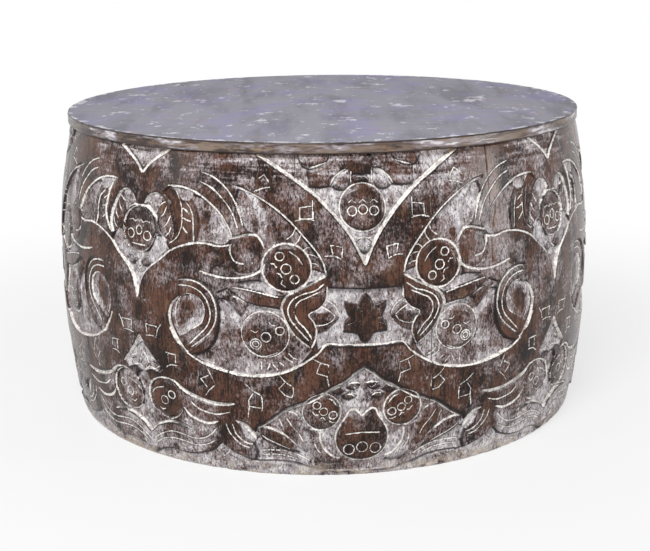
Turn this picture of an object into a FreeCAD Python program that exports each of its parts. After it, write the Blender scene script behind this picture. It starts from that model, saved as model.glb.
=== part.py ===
import FreeCAD, Part
import math
import os

# A round drum table. Upright staves, dowelled and glued edge to edge, make a barrel-shaped
# body that is open underneath. A segmented ring is let into the staves at each end, two
# crossed battens hang under the upper ring, and a flat top of edge-jointed boards is screwed
# down on to the ring and the battens from inside.
# Millimetres, +Z up. The origin is on the floor under the middle of the top, and the face
# that is carved to be seen first looks along -Y.

# The body
belly_diameter = 915.0
body_height = 485.0
belly_height = 235.0
foot_draw_in = 17.5
shoulder_draw_in = 28.0

# The staves
stave_count = 28
stave_thickness = 30.0
foot_chamfer = 3.0
shoulder_chamfer = 2.0
first_seam_angle = -82.5

# The carving: half a panel of ornament runs from the middle of a vee round to the middle of
# the figure at its side, and goes round the body again and again, every second time as its own
# mirror image. The grounds are cut back between the raised figures, each to its own depth.
half_panel_count = 8
first_vee_angle = -82.75
vee_depth = 6.3
arch_depth = 3.9
star_panel_depth = 5.7
hollow_depth = 4.8
low_vee_depth = 6.0
side_vee_depth = 5.4
side_point_depth = 5.4
side_gap_depth = 4.5
side_notch_depth = 4.8
large_face_diameter = 68.0
small_face_diameter = 56.0
star_diameter = 80.0
star_shoulder_diameter = 66.0
star_notch_diameter = 46.0

# The glue line is the gap left between any two glued or fitted wooden faces
glue_line = 0.15

# The dowels across each seam between two staves
dowel_diameter = 10.0
dowel_length = 40.0
dowels_per_seam = 4
dowel_end_margin = 60.0

# The two rings
ring_width = 60.0
ring_thickness = 22.0
ring_seat_depth = 8.0
lower_ring_lift = 15.0
ring_segment_count = 6
ring_start_angle = 11.0
lap_angle = 8.0

# The crossed battens
batten_width = 60.0
batten_depth = 45.0
batten_bearing = 45.0

# The top
top_thickness = 17.0
top_overhang = 3.0
top_arris = 1.5
board_count = 7
tongue_thickness = 5.0
tongue_width = 20.0
tongue_stop = 35.0

# The screws, all of one kind
screw_length = 35.0
screw_diameter = 4.5
screw_tip_length = 7.0
head_diameter = 9.0
head_height = 3.2
head_sink = 0.5
recess_length = 5.0
recess_width = 1.2
recess_depth = 1.6
ring_screws_per_segment = 2
batten_screws_per_side = 2

# How far a cutting tool runs past the face that it cuts
overrun = 1.0

full_turn = 360.0
quarter_turn = 90.0
angle_digits = 6
centre = FreeCAD.Vector(0, 0, 0)
up = FreeCAD.Vector(0, 0, 1)

belly_radius = belly_diameter / 2
foot_radius = belly_radius - foot_draw_in
shoulder_radius = belly_radius - shoulder_draw_in
top_radius = shoulder_radius + top_overhang
stave_pitch = full_turn / stave_count
seam_angle = math.degrees(glue_line / belly_radius)

upper_seat_radius = shoulder_radius - stave_thickness + ring_seat_depth
lower_seat_radius = foot_radius - stave_thickness + ring_seat_depth
upper_ring_bottom = body_height - ring_thickness
lower_ring_top = lower_ring_lift + ring_thickness
upper_ring_outer = upper_seat_radius - glue_line
upper_ring_inner = upper_ring_outer - ring_width
lower_ring_outer = lower_seat_radius - glue_line
lower_ring_inner = lower_ring_outer - ring_width

batten_bottom = body_height - batten_depth
batten_shoulder = math.sqrt(upper_ring_inner**2 - (batten_width / 2) ** 2) - glue_line
batten_reach = batten_shoulder + batten_bearing

board_width = 2 * top_radius / board_count
top_surface = body_height + top_thickness

half_panel_angle = full_turn / half_panel_count
panel_angle = 2 * half_panel_angle

# Outlines in the ornament, as shares of half a panel's width from the middle of the vee and
# shares of the body's height. Each is a list of smooth stretches that meet at corners. One that
# starts on a middle and ends there at another height is closed by its mirror image.
vee_shares = [
    [
        (0.0, 0.680),
        (0.028, 0.730),
        (0.065, 0.779),
        (0.122, 0.833),
        (0.207, 0.894),
        (0.320, 0.948),
        (0.462, 1.010),
    ],
    [(0.462, 1.010), (0.272, 1.010)],
    [(0.272, 1.010), (0.252, 0.969), (0.227, 0.960)],
    [(0.227, 0.960), (0.224, 0.909)],
    [(0.224, 0.909), (0.172, 0.907), (0.127, 0.911)],
    [(0.127, 0.911), (0.093, 0.899), (0.068, 0.905), (0.052, 0.925)],
    [(0.052, 0.925), (0.048, 0.942)],
    [(0.048, 0.942), (0.0, 0.942)],
]
arch_shares = [
    [
        (0.161, 0.652),
        (0.218, 0.734),
        (0.275, 0.784),
        (0.348, 0.833),
        (0.433, 0.874),
        (0.518, 0.897),
    ],
    [(0.518, 0.897), (0.530, 0.862), (0.507, 0.825), (0.479, 0.784), (0.431, 0.763)],
    [(0.431, 0.763), (0.412, 0.726), (0.415, 0.690), (0.416, 0.629)],
    [(0.416, 0.629), (0.456, 0.629), (0.513, 0.621)],
    [(0.513, 0.621), (0.411, 0.600), (0.326, 0.588)],
    [(0.326, 0.588), (0.235, 0.625), (0.161, 0.652)],
]
star_panel_shares = [
    [(0.0, 0.606), (0.133, 0.610)],
    [(0.133, 0.610), (0.153, 0.586), (0.176, 0.571)],
    [(0.176, 0.571), (0.159, 0.569)],
    [(0.159, 0.569), (0.113, 0.540), (0.099, 0.524)],
    [(0.099, 0.524), (0.116, 0.503), (0.144, 0.489)],
    [(0.144, 0.489), (0.193, 0.487)],
    [(0.193, 0.487), (0.201, 0.458), (0.190, 0.423)],
    [(0.190, 0.423), (0.156, 0.433)],
    [(0.156, 0.433), (0.0, 0.429)],
]
hollow_shares = [
    [(0.212, 0.421), (0.286, 0.468), (0.323, 0.515), (0.337, 0.540)],
    [(0.337, 0.540), (0.433, 0.553), (0.524, 0.573), (0.595, 0.567)],
    [(0.595, 0.567), (0.589, 0.520), (0.595, 0.478), (0.618, 0.433), (0.660, 0.398), (0.725, 0.379)],
    [(0.725, 0.379), (0.632, 0.348), (0.504, 0.336), (0.377, 0.340), (0.278, 0.367), (0.212, 0.421)],
]
low_vee_shares = [
    [
        (0.0, 0.365),
        (0.093, 0.313),
        (0.150, 0.291),
        (0.235, 0.256),
        (0.326, 0.229),
        (0.391, 0.192),
        (0.453, 0.163),
    ],
    [(0.453, 0.163), (0.467, 0.124), (0.450, 0.078), (0.467, 0.045)],
    [(0.467, 0.045), (0.354, 0.052), (0.229, 0.031), (0.150, 0.016), (0.0, 0.014)],
]
heart_shares = [
    [
        (0.0, 0.200),
        (0.037, 0.223),
        (0.065, 0.206),
        (0.110, 0.144),
        (0.105, 0.093),
        (0.048, 0.056),
        (0.0, 0.049),
    ],
]
upper_leaf_shares = [
    [(0.326, 0.223), (0.292, 0.212), (0.258, 0.186), (0.235, 0.144), (0.232, 0.103), (0.245, 0.078)],
    [(0.245, 0.078), (0.280, 0.099), (0.320, 0.136), (0.343, 0.173), (0.326, 0.223)],
]
lower_leaf_shares = [
    [(0.439, 0.163), (0.394, 0.159), (0.348, 0.144), (0.303, 0.115), (0.263, 0.078)],
    [(0.263, 0.078), (0.326, 0.087), (0.388, 0.103), (0.439, 0.128)],
    [(0.439, 0.128), (0.439, 0.163)],
]
arm_shares = [
    [(0.222, 0.157), (0.190, 0.155), (0.161, 0.136), (0.144, 0.103), (0.115, 0.070), (0.093, 0.047)],
    [(0.093, 0.047), (0.167, 0.047), (0.208, 0.070), (0.222, 0.111), (0.222, 0.157)],
]
side_vee_shares = [
    [(1.0, 0.540), (0.989, 0.577), (0.966, 0.614), (0.924, 0.647), (0.830, 0.703)],
    [(0.830, 0.703), (0.856, 0.738)],
    [(0.856, 0.738), (0.904, 0.709), (0.943, 0.687), (1.0, 0.678)],
]
side_notch_shares = [
    [(1.0, 0.932), (0.972, 0.955), (0.929, 0.977), (0.850, 1.010)],
    [(0.850, 1.010), (1.0, 1.010)],
]
side_point_shares = [
    [(1.0, 0.410), (0.966, 0.371), (0.929, 0.340), (0.887, 0.309)],
    [(0.887, 0.309), (0.909, 0.291)],
    [(0.909, 0.291), (0.955, 0.303), (1.0, 0.288)],
]
side_gap_shares = [
    [(1.0, 0.280), (0.972, 0.280)],
    [(0.972, 0.280), (0.960, 0.264), (0.986, 0.223), (0.972, 0.175), (0.915, 0.148)],
    [(0.915, 0.148), (0.830, 0.136)],
    [(0.830, 0.136), (0.943, 0.120), (1.0, 0.087)],
]
vee_face_shares = (0.0, 0.849)
arch_face_shares = (0.314, 0.670)
hollow_face_shares = (0.405, 0.464)
low_face_shares = (0.173, 0.216)
star_shares = (0.0, 0.513)
star_shoulder_share = 0.22
star_point_count = 6


def barrel_radius(height):
    """The outer radius of the body at a height: two arcs that meet upright at the belly."""
    if height < belly_height:
        span = belly_height
        draw_in = foot_draw_in
    else:
        span = body_height - belly_height
        draw_in = shoulder_draw_in
    bend = (span**2 + draw_in**2) / (2 * draw_in)
    return belly_radius - bend + math.sqrt(bend**2 - (height - belly_height) ** 2)


def point(radius, height):
    """A point of an outline that is turned about Z."""
    return FreeCAD.Vector(radius, 0, height)


def barrel_arc(low, high, inset):
    """The stretch of the barrel's curve between two heights, moved in by inset."""
    middle = (low + high) / 2
    return Part.Arc(
        point(barrel_radius(low) - inset, low),
        point(barrel_radius(middle) - inset, middle),
        point(barrel_radius(high) - inset, high),
    ).toShape()


def face_through(corners):
    """A flat face with straight sides through the corners."""
    return Part.Face(Part.makePolygon([*corners, corners[0]]))


def turned(face, start, sweep):
    """The solid that a face in the XZ plane makes when it is turned about Z."""
    return face.revolve(centre, up, sweep).rotated(centre, up, start)


def about_axis(shape, angle):
    return shape.rotated(centre, up, angle)


def ring_place(radius, angle):
    turn = math.radians(angle)
    return (radius * math.cos(turn), radius * math.sin(turn))


def stave_outline():
    """A stave's lengthwise section, with the seats for both rings cut into its inner face."""
    upper_step = upper_ring_bottom - glue_line
    lower_step = lower_ring_top + glue_line
    foot_edge = point(barrel_radius(foot_chamfer), foot_chamfer)
    shoulder_edge_height = body_height - shoulder_chamfer
    shoulder_edge = point(barrel_radius(shoulder_edge_height), shoulder_edge_height)
    top_end = [
        shoulder_edge,
        point(shoulder_radius - shoulder_chamfer, body_height),
        point(upper_seat_radius, body_height),
        point(upper_seat_radius, upper_step),
        point(barrel_radius(upper_step) - stave_thickness, upper_step),
    ]
    foot_end = [
        point(barrel_radius(lower_step) - stave_thickness, lower_step),
        point(lower_seat_radius, lower_step),
        point(lower_seat_radius, 0),
        point(foot_radius - foot_chamfer, 0),
        foot_edge,
    ]
    edges = [
        barrel_arc(foot_chamfer, belly_height, 0),
        barrel_arc(belly_height, shoulder_edge_height, 0),
        *Part.makePolygon(top_end).Edges,
        barrel_arc(belly_height, upper_step, stave_thickness),
        barrel_arc(lower_step, belly_height, stave_thickness),
        *Part.makePolygon(foot_end).Edges,
    ]
    return Part.Face(Part.Wire(Part.__sortEdges__(edges)))


def dowel_heights():
    room = body_height - 2 * dowel_end_margin
    return [dowel_end_margin + room * i / (dowels_per_seam - 1) for i in range(dowels_per_seam)]


def seam_dowel(height, growth):
    """A dowel square across the seam at angle 0, in the middle of the wall."""
    half_length = dowel_length / 2 + growth
    middle_radius = barrel_radius(height) - stave_thickness / 2
    return Part.makeCylinder(
        dowel_diameter / 2 + growth,
        2 * half_length,
        FreeCAD.Vector(middle_radius, -half_length, height),
        FreeCAD.Vector(0, 1, 0),
    )


def make_plain_stave():
    """A stave before it is carved, its middle at angle 0, bored for the dowels of both seams."""
    sweep = stave_pitch - seam_angle
    stave = turned(stave_outline(), -sweep / 2, sweep)
    bores = []
    for height in dowel_heights():
        bore = seam_dowel(height, glue_line)
        bores += [about_axis(bore, side * stave_pitch / 2) for side in (-1, 1)]
    return stave.cut(bores)


def barrel_skin(depth):
    """The layer of the body, down to a depth, in front of the stave with its middle at 0."""
    low = -overrun
    high = body_height + overrun
    edges = []
    for inset in (depth, -overrun):
        edges += [barrel_arc(low, belly_height, inset), barrel_arc(belly_height, high, inset)]
    for end in (low, high):
        radius = barrel_radius(end)
        edges.append(Part.makeLine(point(radius - depth, end), point(radius + overrun, end)))
    section = Part.Face(Part.Wire(Part.__sortEdges__(edges)))
    return turned(section, -stave_pitch, 2 * stave_pitch)


def ornament_place(shares, vee_angle, side):
    """A place in the ornament, laid flat square to the stave whose middle is at angle 0."""
    height = shares[1] * body_height
    angle = vee_angle + side * shares[0] * half_panel_angle
    return FreeCAD.Vector(0, barrel_radius(height) * math.radians(angle), height)


def ornament_face(outline, vee_angle, side=1):
    """The flat face inside an outline, which its mirror image closes if it lies on a middle."""
    start = outline[0][0]
    stretches = list(outline)
    if outline[-1][-1] != start:
        for stretch in outline:
            stretches.append([(2 * start[0] - across, height) for across, height in stretch])
    edges = []
    for stretch in stretches:
        curve = Part.BSplineCurve()
        curve.interpolate([ornament_place(shares, vee_angle, side) for shares in stretch])
        edges.append(curve.toShape())
    return Part.Face(Part.Wire(Part.__sortEdges__(edges)))


def disc_face(diameter, shares, vee_angle, side=1):
    place = ornament_place(shares, vee_angle, side)
    circle = Part.Circle(place, FreeCAD.Vector(1, 0, 0), diameter / 2)
    return Part.Face(Part.Wire(circle.toShape()))


def star_face(vee_angle):
    """A star with round-shouldered points and a notch between each two."""
    middle = ornament_place(star_shares, vee_angle, 1)
    reaches = {
        -star_shoulder_share: star_shoulder_diameter / 2,
        0: star_diameter / 2,
        star_shoulder_share: star_shoulder_diameter / 2,
        1 / 2: star_notch_diameter / 2,
    }
    corners = []
    for i in range(star_point_count):
        for share, reach in reaches.items():
            turn = math.radians((i + share) * full_turn / star_point_count)
            offset = FreeCAD.Vector(0, reach * math.sin(turn), reach * math.cos(turn))
            corners.append(middle + offset)
    return face_through(corners)


def ground_faces(vee_angle):
    """The grounds of the panel round one vee: depth, outline and the figures left standing."""
    low_figures = [ornament_face(heart_shares, vee_angle)]
    grounds = []
    for side in (-1, 1):
        low_figures.append(disc_face(small_face_diameter, low_face_shares, vee_angle, side))
        for leaf in (upper_leaf_shares, lower_leaf_shares, arm_shares):
            low_figures.append(ornament_face(leaf, vee_angle, side))
        arch_face = disc_face(large_face_diameter, arch_face_shares, vee_angle, side)
        hollow_face = disc_face(large_face_diameter, hollow_face_shares, vee_angle, side)
        grounds += [
            (arch_depth, ornament_face(arch_shares, vee_angle, side), [arch_face]),
            (hollow_depth, ornament_face(hollow_shares, vee_angle, side), [hollow_face]),
        ]
    vee_face = disc_face(large_face_diameter, vee_face_shares, vee_angle)
    return grounds + [
        (vee_depth, ornament_face(vee_shares, vee_angle), [vee_face]),
        (star_panel_depth, ornament_face(star_panel_shares, vee_angle), [star_face(vee_angle)]),
        (low_vee_depth, ornament_face(low_vee_shares, vee_angle), low_figures),
        (side_vee_depth, ornament_face(side_vee_shares, vee_angle), []),
        (side_point_depth, ornament_face(side_point_shares, vee_angle), []),
        (side_gap_depth, ornament_face(side_gap_shares, vee_angle), []),
        (side_notch_depth, ornament_face(side_notch_shares, vee_angle), []),
    ]


def carved(stave, vee_angle):
    """A stave with its middle at angle 0, cut by the panels of the vees on either side of it."""
    half_width = belly_radius * math.radians(stave_pitch / 2)
    chips = []
    for angle in (vee_angle, vee_angle - panel_angle):
        for depth, outline, figures in ground_faces(angle):
            extent = outline.BoundBox
            if extent.YMin < half_width and extent.YMax > -half_width:
                ground = outline.cut(figures) if figures else outline
                chip = ground.extrude(FreeCAD.Vector(belly_diameter, 0, 0))
                chips.append(chip.common(barrel_skin(depth)))
    return stave.cut(chips)


def make_stave_dowels():
    dowels = []
    for i in range(stave_count):
        seam = first_seam_angle + i * stave_pitch
        dowels += [about_axis(seam_dowel(height, 0), seam) for height in dowel_heights()]
    return Part.makeCompound(dowels)


def screw_body(growth):
    """A screw that points up from the middle of its head, or its bore when it is grown."""
    head_radius = head_diameter / 2 + growth
    shank_radius = screw_diameter / 2 + growth
    outline = [
        point(0, 0),
        point(head_radius, 0),
        point(shank_radius, head_height),
        point(shank_radius, screw_length - screw_tip_length),
        point(0, screw_length + growth),
    ]
    return turned(face_through(outline), 0, full_turn)


def make_screw():
    """A countersunk wood screw with a cross recess."""
    recess = Part.makeBox(
        recess_length,
        recess_width,
        recess_depth + overrun,
        FreeCAD.Vector(-recess_length / 2, -recess_width / 2, -overrun),
    )
    return screw_body(0).cut([recess, about_axis(recess, quarter_turn)])


def moved(shape, place, height):
    copy = shape.copy()
    copy.translate(FreeCAD.Vector(*place, height))
    return copy


def screw_bores(places, head, surface):
    """Bores for screws whose heads lie at one height, counterbored up from a surface."""
    mouth = Part.makeCylinder(
        head_diameter / 2 + glue_line,
        head - surface + overrun,
        FreeCAD.Vector(0, 0, surface - head - overrun),
    )
    bore = screw_body(glue_line).fuse(mouth)
    return [moved(bore, place, head) for place in places]


# Half of the screws that hold the top to the ring go through its laps
ring_screw_count = ring_segment_count * ring_screws_per_segment
ring_screw_places = [
    ring_place(
        upper_ring_inner + ring_width / 2,
        ring_start_angle + lap_angle / 2 + i * full_turn / ring_screw_count,
    )
    for i in range(ring_screw_count)
]
ring_screw_head = upper_ring_bottom + head_sink

# Two screws hold each batten's end up to the ring
end_screw_radius = batten_shoulder + batten_bearing / 2
end_screw_head = batten_bottom + head_sink
end_screw_places = {}
# Deeply counterbored screws hold the boards down to the battens
board_screw_head = ring_screw_head
board_screw_places = {}
for name, along in {"x": (1, 0), "y": (0, 1)}.items():
    across = (along[1], along[0])
    end_screw_places[name] = [
        (
            side * end_screw_radius * along[0] + edge * batten_width / 4 * across[0],
            side * end_screw_radius * along[1] + edge * batten_width / 4 * across[1],
        )
        for side in (-1, 1)
        for edge in (-1, 1)
    ]
    board_screw_places[name] = [
        (side * i * board_width * along[0], side * i * board_width * along[1])
        for side in (-1, 1)
        for i in range(1, batten_screws_per_side + 1)
    ]
all_end_screw_places = end_screw_places["x"] + end_screw_places["y"]
all_board_screw_places = board_screw_places["x"] + board_screw_places["y"]


def ring_layer(inner, outer, low, high, start):
    """Half the thickness of one ring segment."""
    outline = [point(inner, low), point(outer, low), point(outer, high), point(inner, high)]
    end_gap = math.degrees(glue_line / outer)
    return turned(face_through(outline), start, full_turn / ring_segment_count - end_gap)


def ring_segment(index, inner, outer, low):
    """A ring segment, half-lapped on to the next: its upper layer is one lap further on."""
    start = ring_start_angle + index * full_turn / ring_segment_count
    middle = low + ring_thickness / 2
    lower_layer = ring_layer(inner, outer, low, middle, start)
    upper_layer = ring_layer(inner, outer, middle, low + ring_thickness, start + lap_angle)
    return lower_layer.fuse(upper_layer).removeSplitter()


def upper_ring_segment(index):
    bores = screw_bores(ring_screw_places, ring_screw_head, upper_ring_bottom)
    bores += screw_bores(all_end_screw_places, end_screw_head, batten_bottom)
    return ring_segment(index, upper_ring_inner, upper_ring_outer, upper_ring_bottom).cut(bores)


def lower_ring_segment(index):
    return ring_segment(index, lower_ring_inner, lower_ring_outer, lower_ring_lift)


def block(length, width, low, high):
    """A block along X, centred on Z."""
    return Part.makeBox(length, width, high - low, FreeCAD.Vector(-length / 2, -width / 2, low))


def cross_batten(name):
    """A batten that bears up on the boards, steps under the ring and is halved at the middle."""
    half_depth_height = body_height - batten_depth / 2
    tongues = block(
        2 * batten_reach, batten_width, batten_bottom, upper_ring_bottom - glue_line
    )
    batten = tongues.fuse(block(2 * batten_shoulder, batten_width, batten_bottom, body_height))
    batten = batten.removeSplitter()
    notch_width = batten_width + 2 * glue_line
    if name == "x":
        low, high = half_depth_height, body_height + overrun
    else:
        low, high = batten_bottom - overrun, half_depth_height
        batten = about_axis(batten, quarter_turn)
    notch = block(notch_width, notch_width, low, high)
    bores = screw_bores(end_screw_places[name], end_screw_head, batten_bottom)
    bores += screw_bores(board_screw_places[name], board_screw_head, batten_bottom)
    return batten.cut([notch, *bores])


def top_disc():
    """The whole top before it is divided, with its sharp edges eased."""
    outline = [
        point(0, body_height),
        point(top_radius - top_arris, body_height),
        point(top_radius, body_height + top_arris),
        point(top_radius, top_surface - top_arris),
        point(top_radius - top_arris, top_surface),
        point(0, top_surface),
    ]
    return turned(face_through(outline), 0, full_turn)


def board_seam(index):
    """Where the joint beyond board number index lies, across the boards."""
    return index * board_width - top_radius


def tongue(index, growth):
    """The loose tongue in one joint between boards, stopped short of the top's edge."""
    half_length = math.sqrt(top_radius**2 - board_seam(index) ** 2) - tongue_stop
    middle = body_height + top_thickness / 2
    half_thickness = tongue_thickness / 2
    bar = block(
        2 * (half_length + growth),
        tongue_width + 2 * growth,
        middle - half_thickness - growth,
        middle + half_thickness + growth,
    )
    return moved(bar, (0, board_seam(index)), 0)


def make_top_boards():
    disc = top_disc()
    pilots = screw_bores(
        ring_screw_places + all_board_screw_places, ring_screw_head, upper_ring_bottom
    )
    grooves = [tongue(i, glue_line) for i in range(1, board_count)]
    disc = disc.cut(pilots + grooves)
    boards = []
    for i in range(board_count):
        slab = Part.makeBox(
            2 * top_radius,
            board_width - glue_line,
            top_thickness + 2 * overrun,
            FreeCAD.Vector(-top_radius, board_seam(i) + glue_line / 2, body_height - overrun),
        )
        boards.append(disc.common(slab))
    return boards


def save(shape, node):
    shape.exportStep(f"parts/{node}.step")


os.makedirs("parts", exist_ok=True)

# Staves that lie alike to the vees are carved alike
carved_staves = {}
for i in range(stave_count):
    middle_angle = first_seam_angle + (i + 1 / 2) * stave_pitch
    vee_angle = round((first_vee_angle - middle_angle) % panel_angle, angle_digits)
    if vee_angle not in carved_staves:
        carved_staves[vee_angle] = carved(make_plain_stave(), vee_angle)
    save(about_axis(carved_staves[vee_angle], middle_angle), f"stave_{i + 1:02d}")
save(make_stave_dowels(), "stave_dowels")

for i in range(ring_segment_count):
    save(upper_ring_segment(i), f"upper_ring_segment_{i + 1}")
    save(lower_ring_segment(i), f"lower_ring_segment_{i + 1}")

save(cross_batten("x"), "cross_batten_lower_half")
save(cross_batten("y"), "cross_batten_upper_half")

for i, board in enumerate(make_top_boards()):
    save(board, f"top_board_{i + 1}")
save(Part.makeCompound([tongue(i, 0) for i in range(1, board_count)]), "top_board_tongues")

screw = make_screw()
screw_groups = {
    "ring_screws": (ring_screw_places, ring_screw_head),
    "batten_end_screws": (all_end_screw_places, end_screw_head),
    "batten_board_screws": (all_board_screw_places, board_screw_head),
}
for node, (places, head) in screw_groups.items():
    save(Part.makeCompound([moved(screw, place, head) for place in places]), node)
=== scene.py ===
import math

import bpy
import numpy as np
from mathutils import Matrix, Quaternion, Vector
from mathutils.geometry import delaunay_2d_cdt


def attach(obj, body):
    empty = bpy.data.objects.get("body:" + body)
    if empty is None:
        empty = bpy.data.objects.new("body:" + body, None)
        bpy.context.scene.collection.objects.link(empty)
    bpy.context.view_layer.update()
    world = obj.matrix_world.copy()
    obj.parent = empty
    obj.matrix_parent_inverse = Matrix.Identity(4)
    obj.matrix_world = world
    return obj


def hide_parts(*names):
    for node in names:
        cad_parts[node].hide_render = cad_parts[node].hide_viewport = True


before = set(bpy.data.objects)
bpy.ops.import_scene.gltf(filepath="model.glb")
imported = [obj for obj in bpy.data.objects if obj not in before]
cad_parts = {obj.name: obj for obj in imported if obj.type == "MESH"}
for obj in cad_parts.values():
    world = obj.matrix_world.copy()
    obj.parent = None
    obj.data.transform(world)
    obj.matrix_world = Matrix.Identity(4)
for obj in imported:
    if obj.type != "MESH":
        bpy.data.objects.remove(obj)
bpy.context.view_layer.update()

# The carved staves
# Twenty-eight upright staves of a soft brown wood, sawn to the barrel's curve, dowelled and
# glued edge to edge, then carved as one drum. The carver cut the grounds back, gouged the lines,
# rubbed white filler into every cut and wiped a thin lavender wash over the dark stain.
mm = 0.001
stave_count = 28
first_seam_angle = -82.5
stave_pitch = 360 / stave_count
glue_line = 0.15
stave_thickness = 30.0
belly_radius = 457.5
belly_height = 235.0
body_height = 485.0
foot_radius = 440.0
shoulder_radius = 429.5
foot_chamfer = 3.0
shoulder_chamfer = 2.0
chamfer_slope = 0.72
upper_seat = (407.5, 462.85)
lower_seat = (418.0, 37.15)
girth = 2 * math.pi * belly_radius


def barrel_radius(height):
    """The drum's uncut radius at a height: two arcs that meet upright at the belly."""
    height = np.asarray(height, float)
    below = height < belly_height
    span = np.where(below, belly_height, body_height - belly_height)
    draw_in = belly_radius - np.where(below, foot_radius, shoulder_radius)
    bend = (span**2 + draw_in**2) / (2 * draw_in)
    return belly_radius - bend + np.sqrt(bend**2 - (height - belly_height) ** 2)


# The ornament is one half panel, which is carved eight times round the drum, every second time
# as its mirror image. It is drawn on a sheet of small cells: how deep the ground is cut, how
# deep the gouge went on top of that, how much filler is left, and how pale the wash is. Its
# places are mm across, from the side's middle line to the front's, and mm up from the foot.
half_panel = girth / 8
front = 53.0
side = -300.0
stretch = half_panel / (front - side)
cell = 0.5
margin = 24.0
rows = int(body_height / cell) + 1
cols = int((half_panel + 2 * margin) / cell) + 1
sheets = [np.zeros((rows, cols), np.float32) for _ in range(6)]
relief, groove, filled, contour, unfilled_cut_shade, bank = sheets
wash = np.full((rows, cols), 0.26, np.float32)


def smooth(points, step=2.0):
    """Points every few millimetres on a soft curve through the given ones."""
    points = np.array(points, float)
    gaps = np.maximum(np.linalg.norm(np.diff(points, axis=0), axis=1), 1e-6)
    slopes = np.diff(points, axis=0) / gaps[:, None]
    tangents = np.empty_like(points)
    tangents[0], tangents[-1] = slopes[0], slopes[-1]
    if len(points) > 2:
        weight = (gaps[:-1] / (gaps[:-1] + gaps[1:]))[:, None]
        tangents[1:-1] = slopes[:-1] * (1 - weight) + slopes[1:] * weight
    found = [points[:1]]
    for i, gap in enumerate(gaps):
        t = np.linspace(0, 1, max(2, int(gap / step) + 1))[1:, None]
        found.append(
            points[i] * (2 * t**3 - 3 * t**2 + 1)
            + tangents[i] * gap * (t**3 - 2 * t**2 + t)
            + points[i + 1] * (3 * t**2 - 2 * t**3)
            + tangents[i + 1] * gap * (t**3 - t**2)
        )
    return np.concatenate(found)


def curves(first, *others):
    """An outline of soft curves that meet in corners: each starts where the last one ended."""
    found = [smooth(first)]
    for points in others:
        found.append(smooth([found[-1][-1], *points]))
    return np.concatenate(found)


def loop(points):
    """A closed soft curve through the points."""
    curve = smooth([*points[-2:], *points, *points[:3]])
    start = np.argmin(np.linalg.norm(curve - np.array(points[0]), axis=1))
    rest = curve[start + 2 :]
    end = np.argmin(np.linalg.norm(rest - np.array(points[0]), axis=1))
    return curve[start : start + 3 + end]


def oval(centre, radius, lean=0, squash=1.0):
    """A closed oval. It leans by an angle in degrees and is squash times as high as it is wide."""
    turn = np.linspace(0, 2 * math.pi, max(18, int(radius * 2.2)))
    x, y = radius * np.cos(turn), radius * squash * np.sin(turn)
    c, s = math.cos(math.radians(lean)), math.sin(math.radians(lean))
    return np.stack([centre[0] + x * c - y * s, centre[1] + x * s + y * c], 1)


def mirrored(points, middle):
    """The outline that runs along the points and back along their mirror image."""
    points = np.array(points, float)
    return np.concatenate([points, points[::-1] * (-1, 1) + (2 * middle, 0)])


def on_panel(path):
    """Drawn places as mm across and up the sheet."""
    path = np.array(path, float)
    return np.stack([(front - path[:, 0]) * stretch + margin, path[:, 1]], 1)


def measure(path, reach):
    """How far each cell near a path is from it, and how far along it the nearest point is."""
    path = on_panel(path)
    low = np.floor((path.min(0) - reach) / cell).astype(int)
    high = np.ceil((path.max(0) + reach) / cell).astype(int) + 1
    c0, r0 = np.maximum(low, 0)
    c1, r1 = np.minimum(high, (cols, rows))
    distance = np.full((r1 - r0, c1 - c0), reach, np.float32)
    along = np.zeros_like(distance)
    run = 0.0
    for start, end in zip(path[:-1], path[1:]):
        length = math.dist(start, end)
        if length < 1e-6:
            continue
        lo = np.floor((np.minimum(start, end) - reach) / cell).astype(int)
        hi = np.ceil((np.maximum(start, end) + reach) / cell).astype(int) + 1
        a0, b0 = max(lo[0], c0), max(lo[1], r0)
        a1, b1 = min(hi[0], c1), min(hi[1], r1)
        if a1 > a0 and b1 > b0:
            x = np.arange(a0, a1, dtype=np.float32)[None, :] * cell - start[0]
            y = np.arange(b0, b1, dtype=np.float32)[:, None] * cell - start[1]
            dx, dy = (end - start) / length
            t = np.clip(x * dx + y * dy, 0, length)
            d = np.hypot(x - t * dx, y - t * dy)
            window = (slice(b0 - r0, b1 - r0), slice(a0 - c0, a1 - c0))
            closer = d < distance[window]
            distance[window][closer] = d[closer]
            along[window][closer] = (run + t)[closer]
        run += length
    return (slice(r0, r1), slice(c0, c1)), distance, along, run


def soft_step(low, high, value):
    t = np.clip((value - low) / (high - low), 0, 1)
    return t * t * (3 - 2 * t)


def gouge(path, width, tail=2.5, fill=1.0, slope=1.0):
    """A V-shaped cut that runs out at both ends and holds the white filler."""
    wide = width > 3.7
    # The tool leaves a narrower line than the one that is drawn for it
    width = width * (0.72 if wide else 0.66)
    window, distance, along, length = measure(path, width)
    half = np.full_like(distance, width / 2)
    if tail:
        ends = np.minimum(along, length - along) / (tail * width)
        half = width / 2 * np.sqrt(np.clip(ends, 0.1, 1))
    cover = soft_step(1.15, 0.55, distance / half)
    marks = [(groove, np.clip(half - distance, 0, None) * slope), (filled, cover * fill)]
    if wide:
        marks.append((contour, cover * fill))
    # A cut with little filler is marked to be painted dark with shade
    if fill < 0.5:
        marks.append((unfilled_cut_shade, cover))
    for sheet, mark in marks:
        sheet[window] = np.maximum(sheet[window], mark)


def draw(width, *lines, **how):
    """Soft lines gouged with one tool."""
    for points in lines:
        gouge(smooth(points), width, **how)


def score(path, width=2.6):
    """A thin cut without filler, painted dark with shade, as round a raised shape."""
    gouge(path, width, tail=0.6, fill=0.0, slope=1.3)


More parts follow.
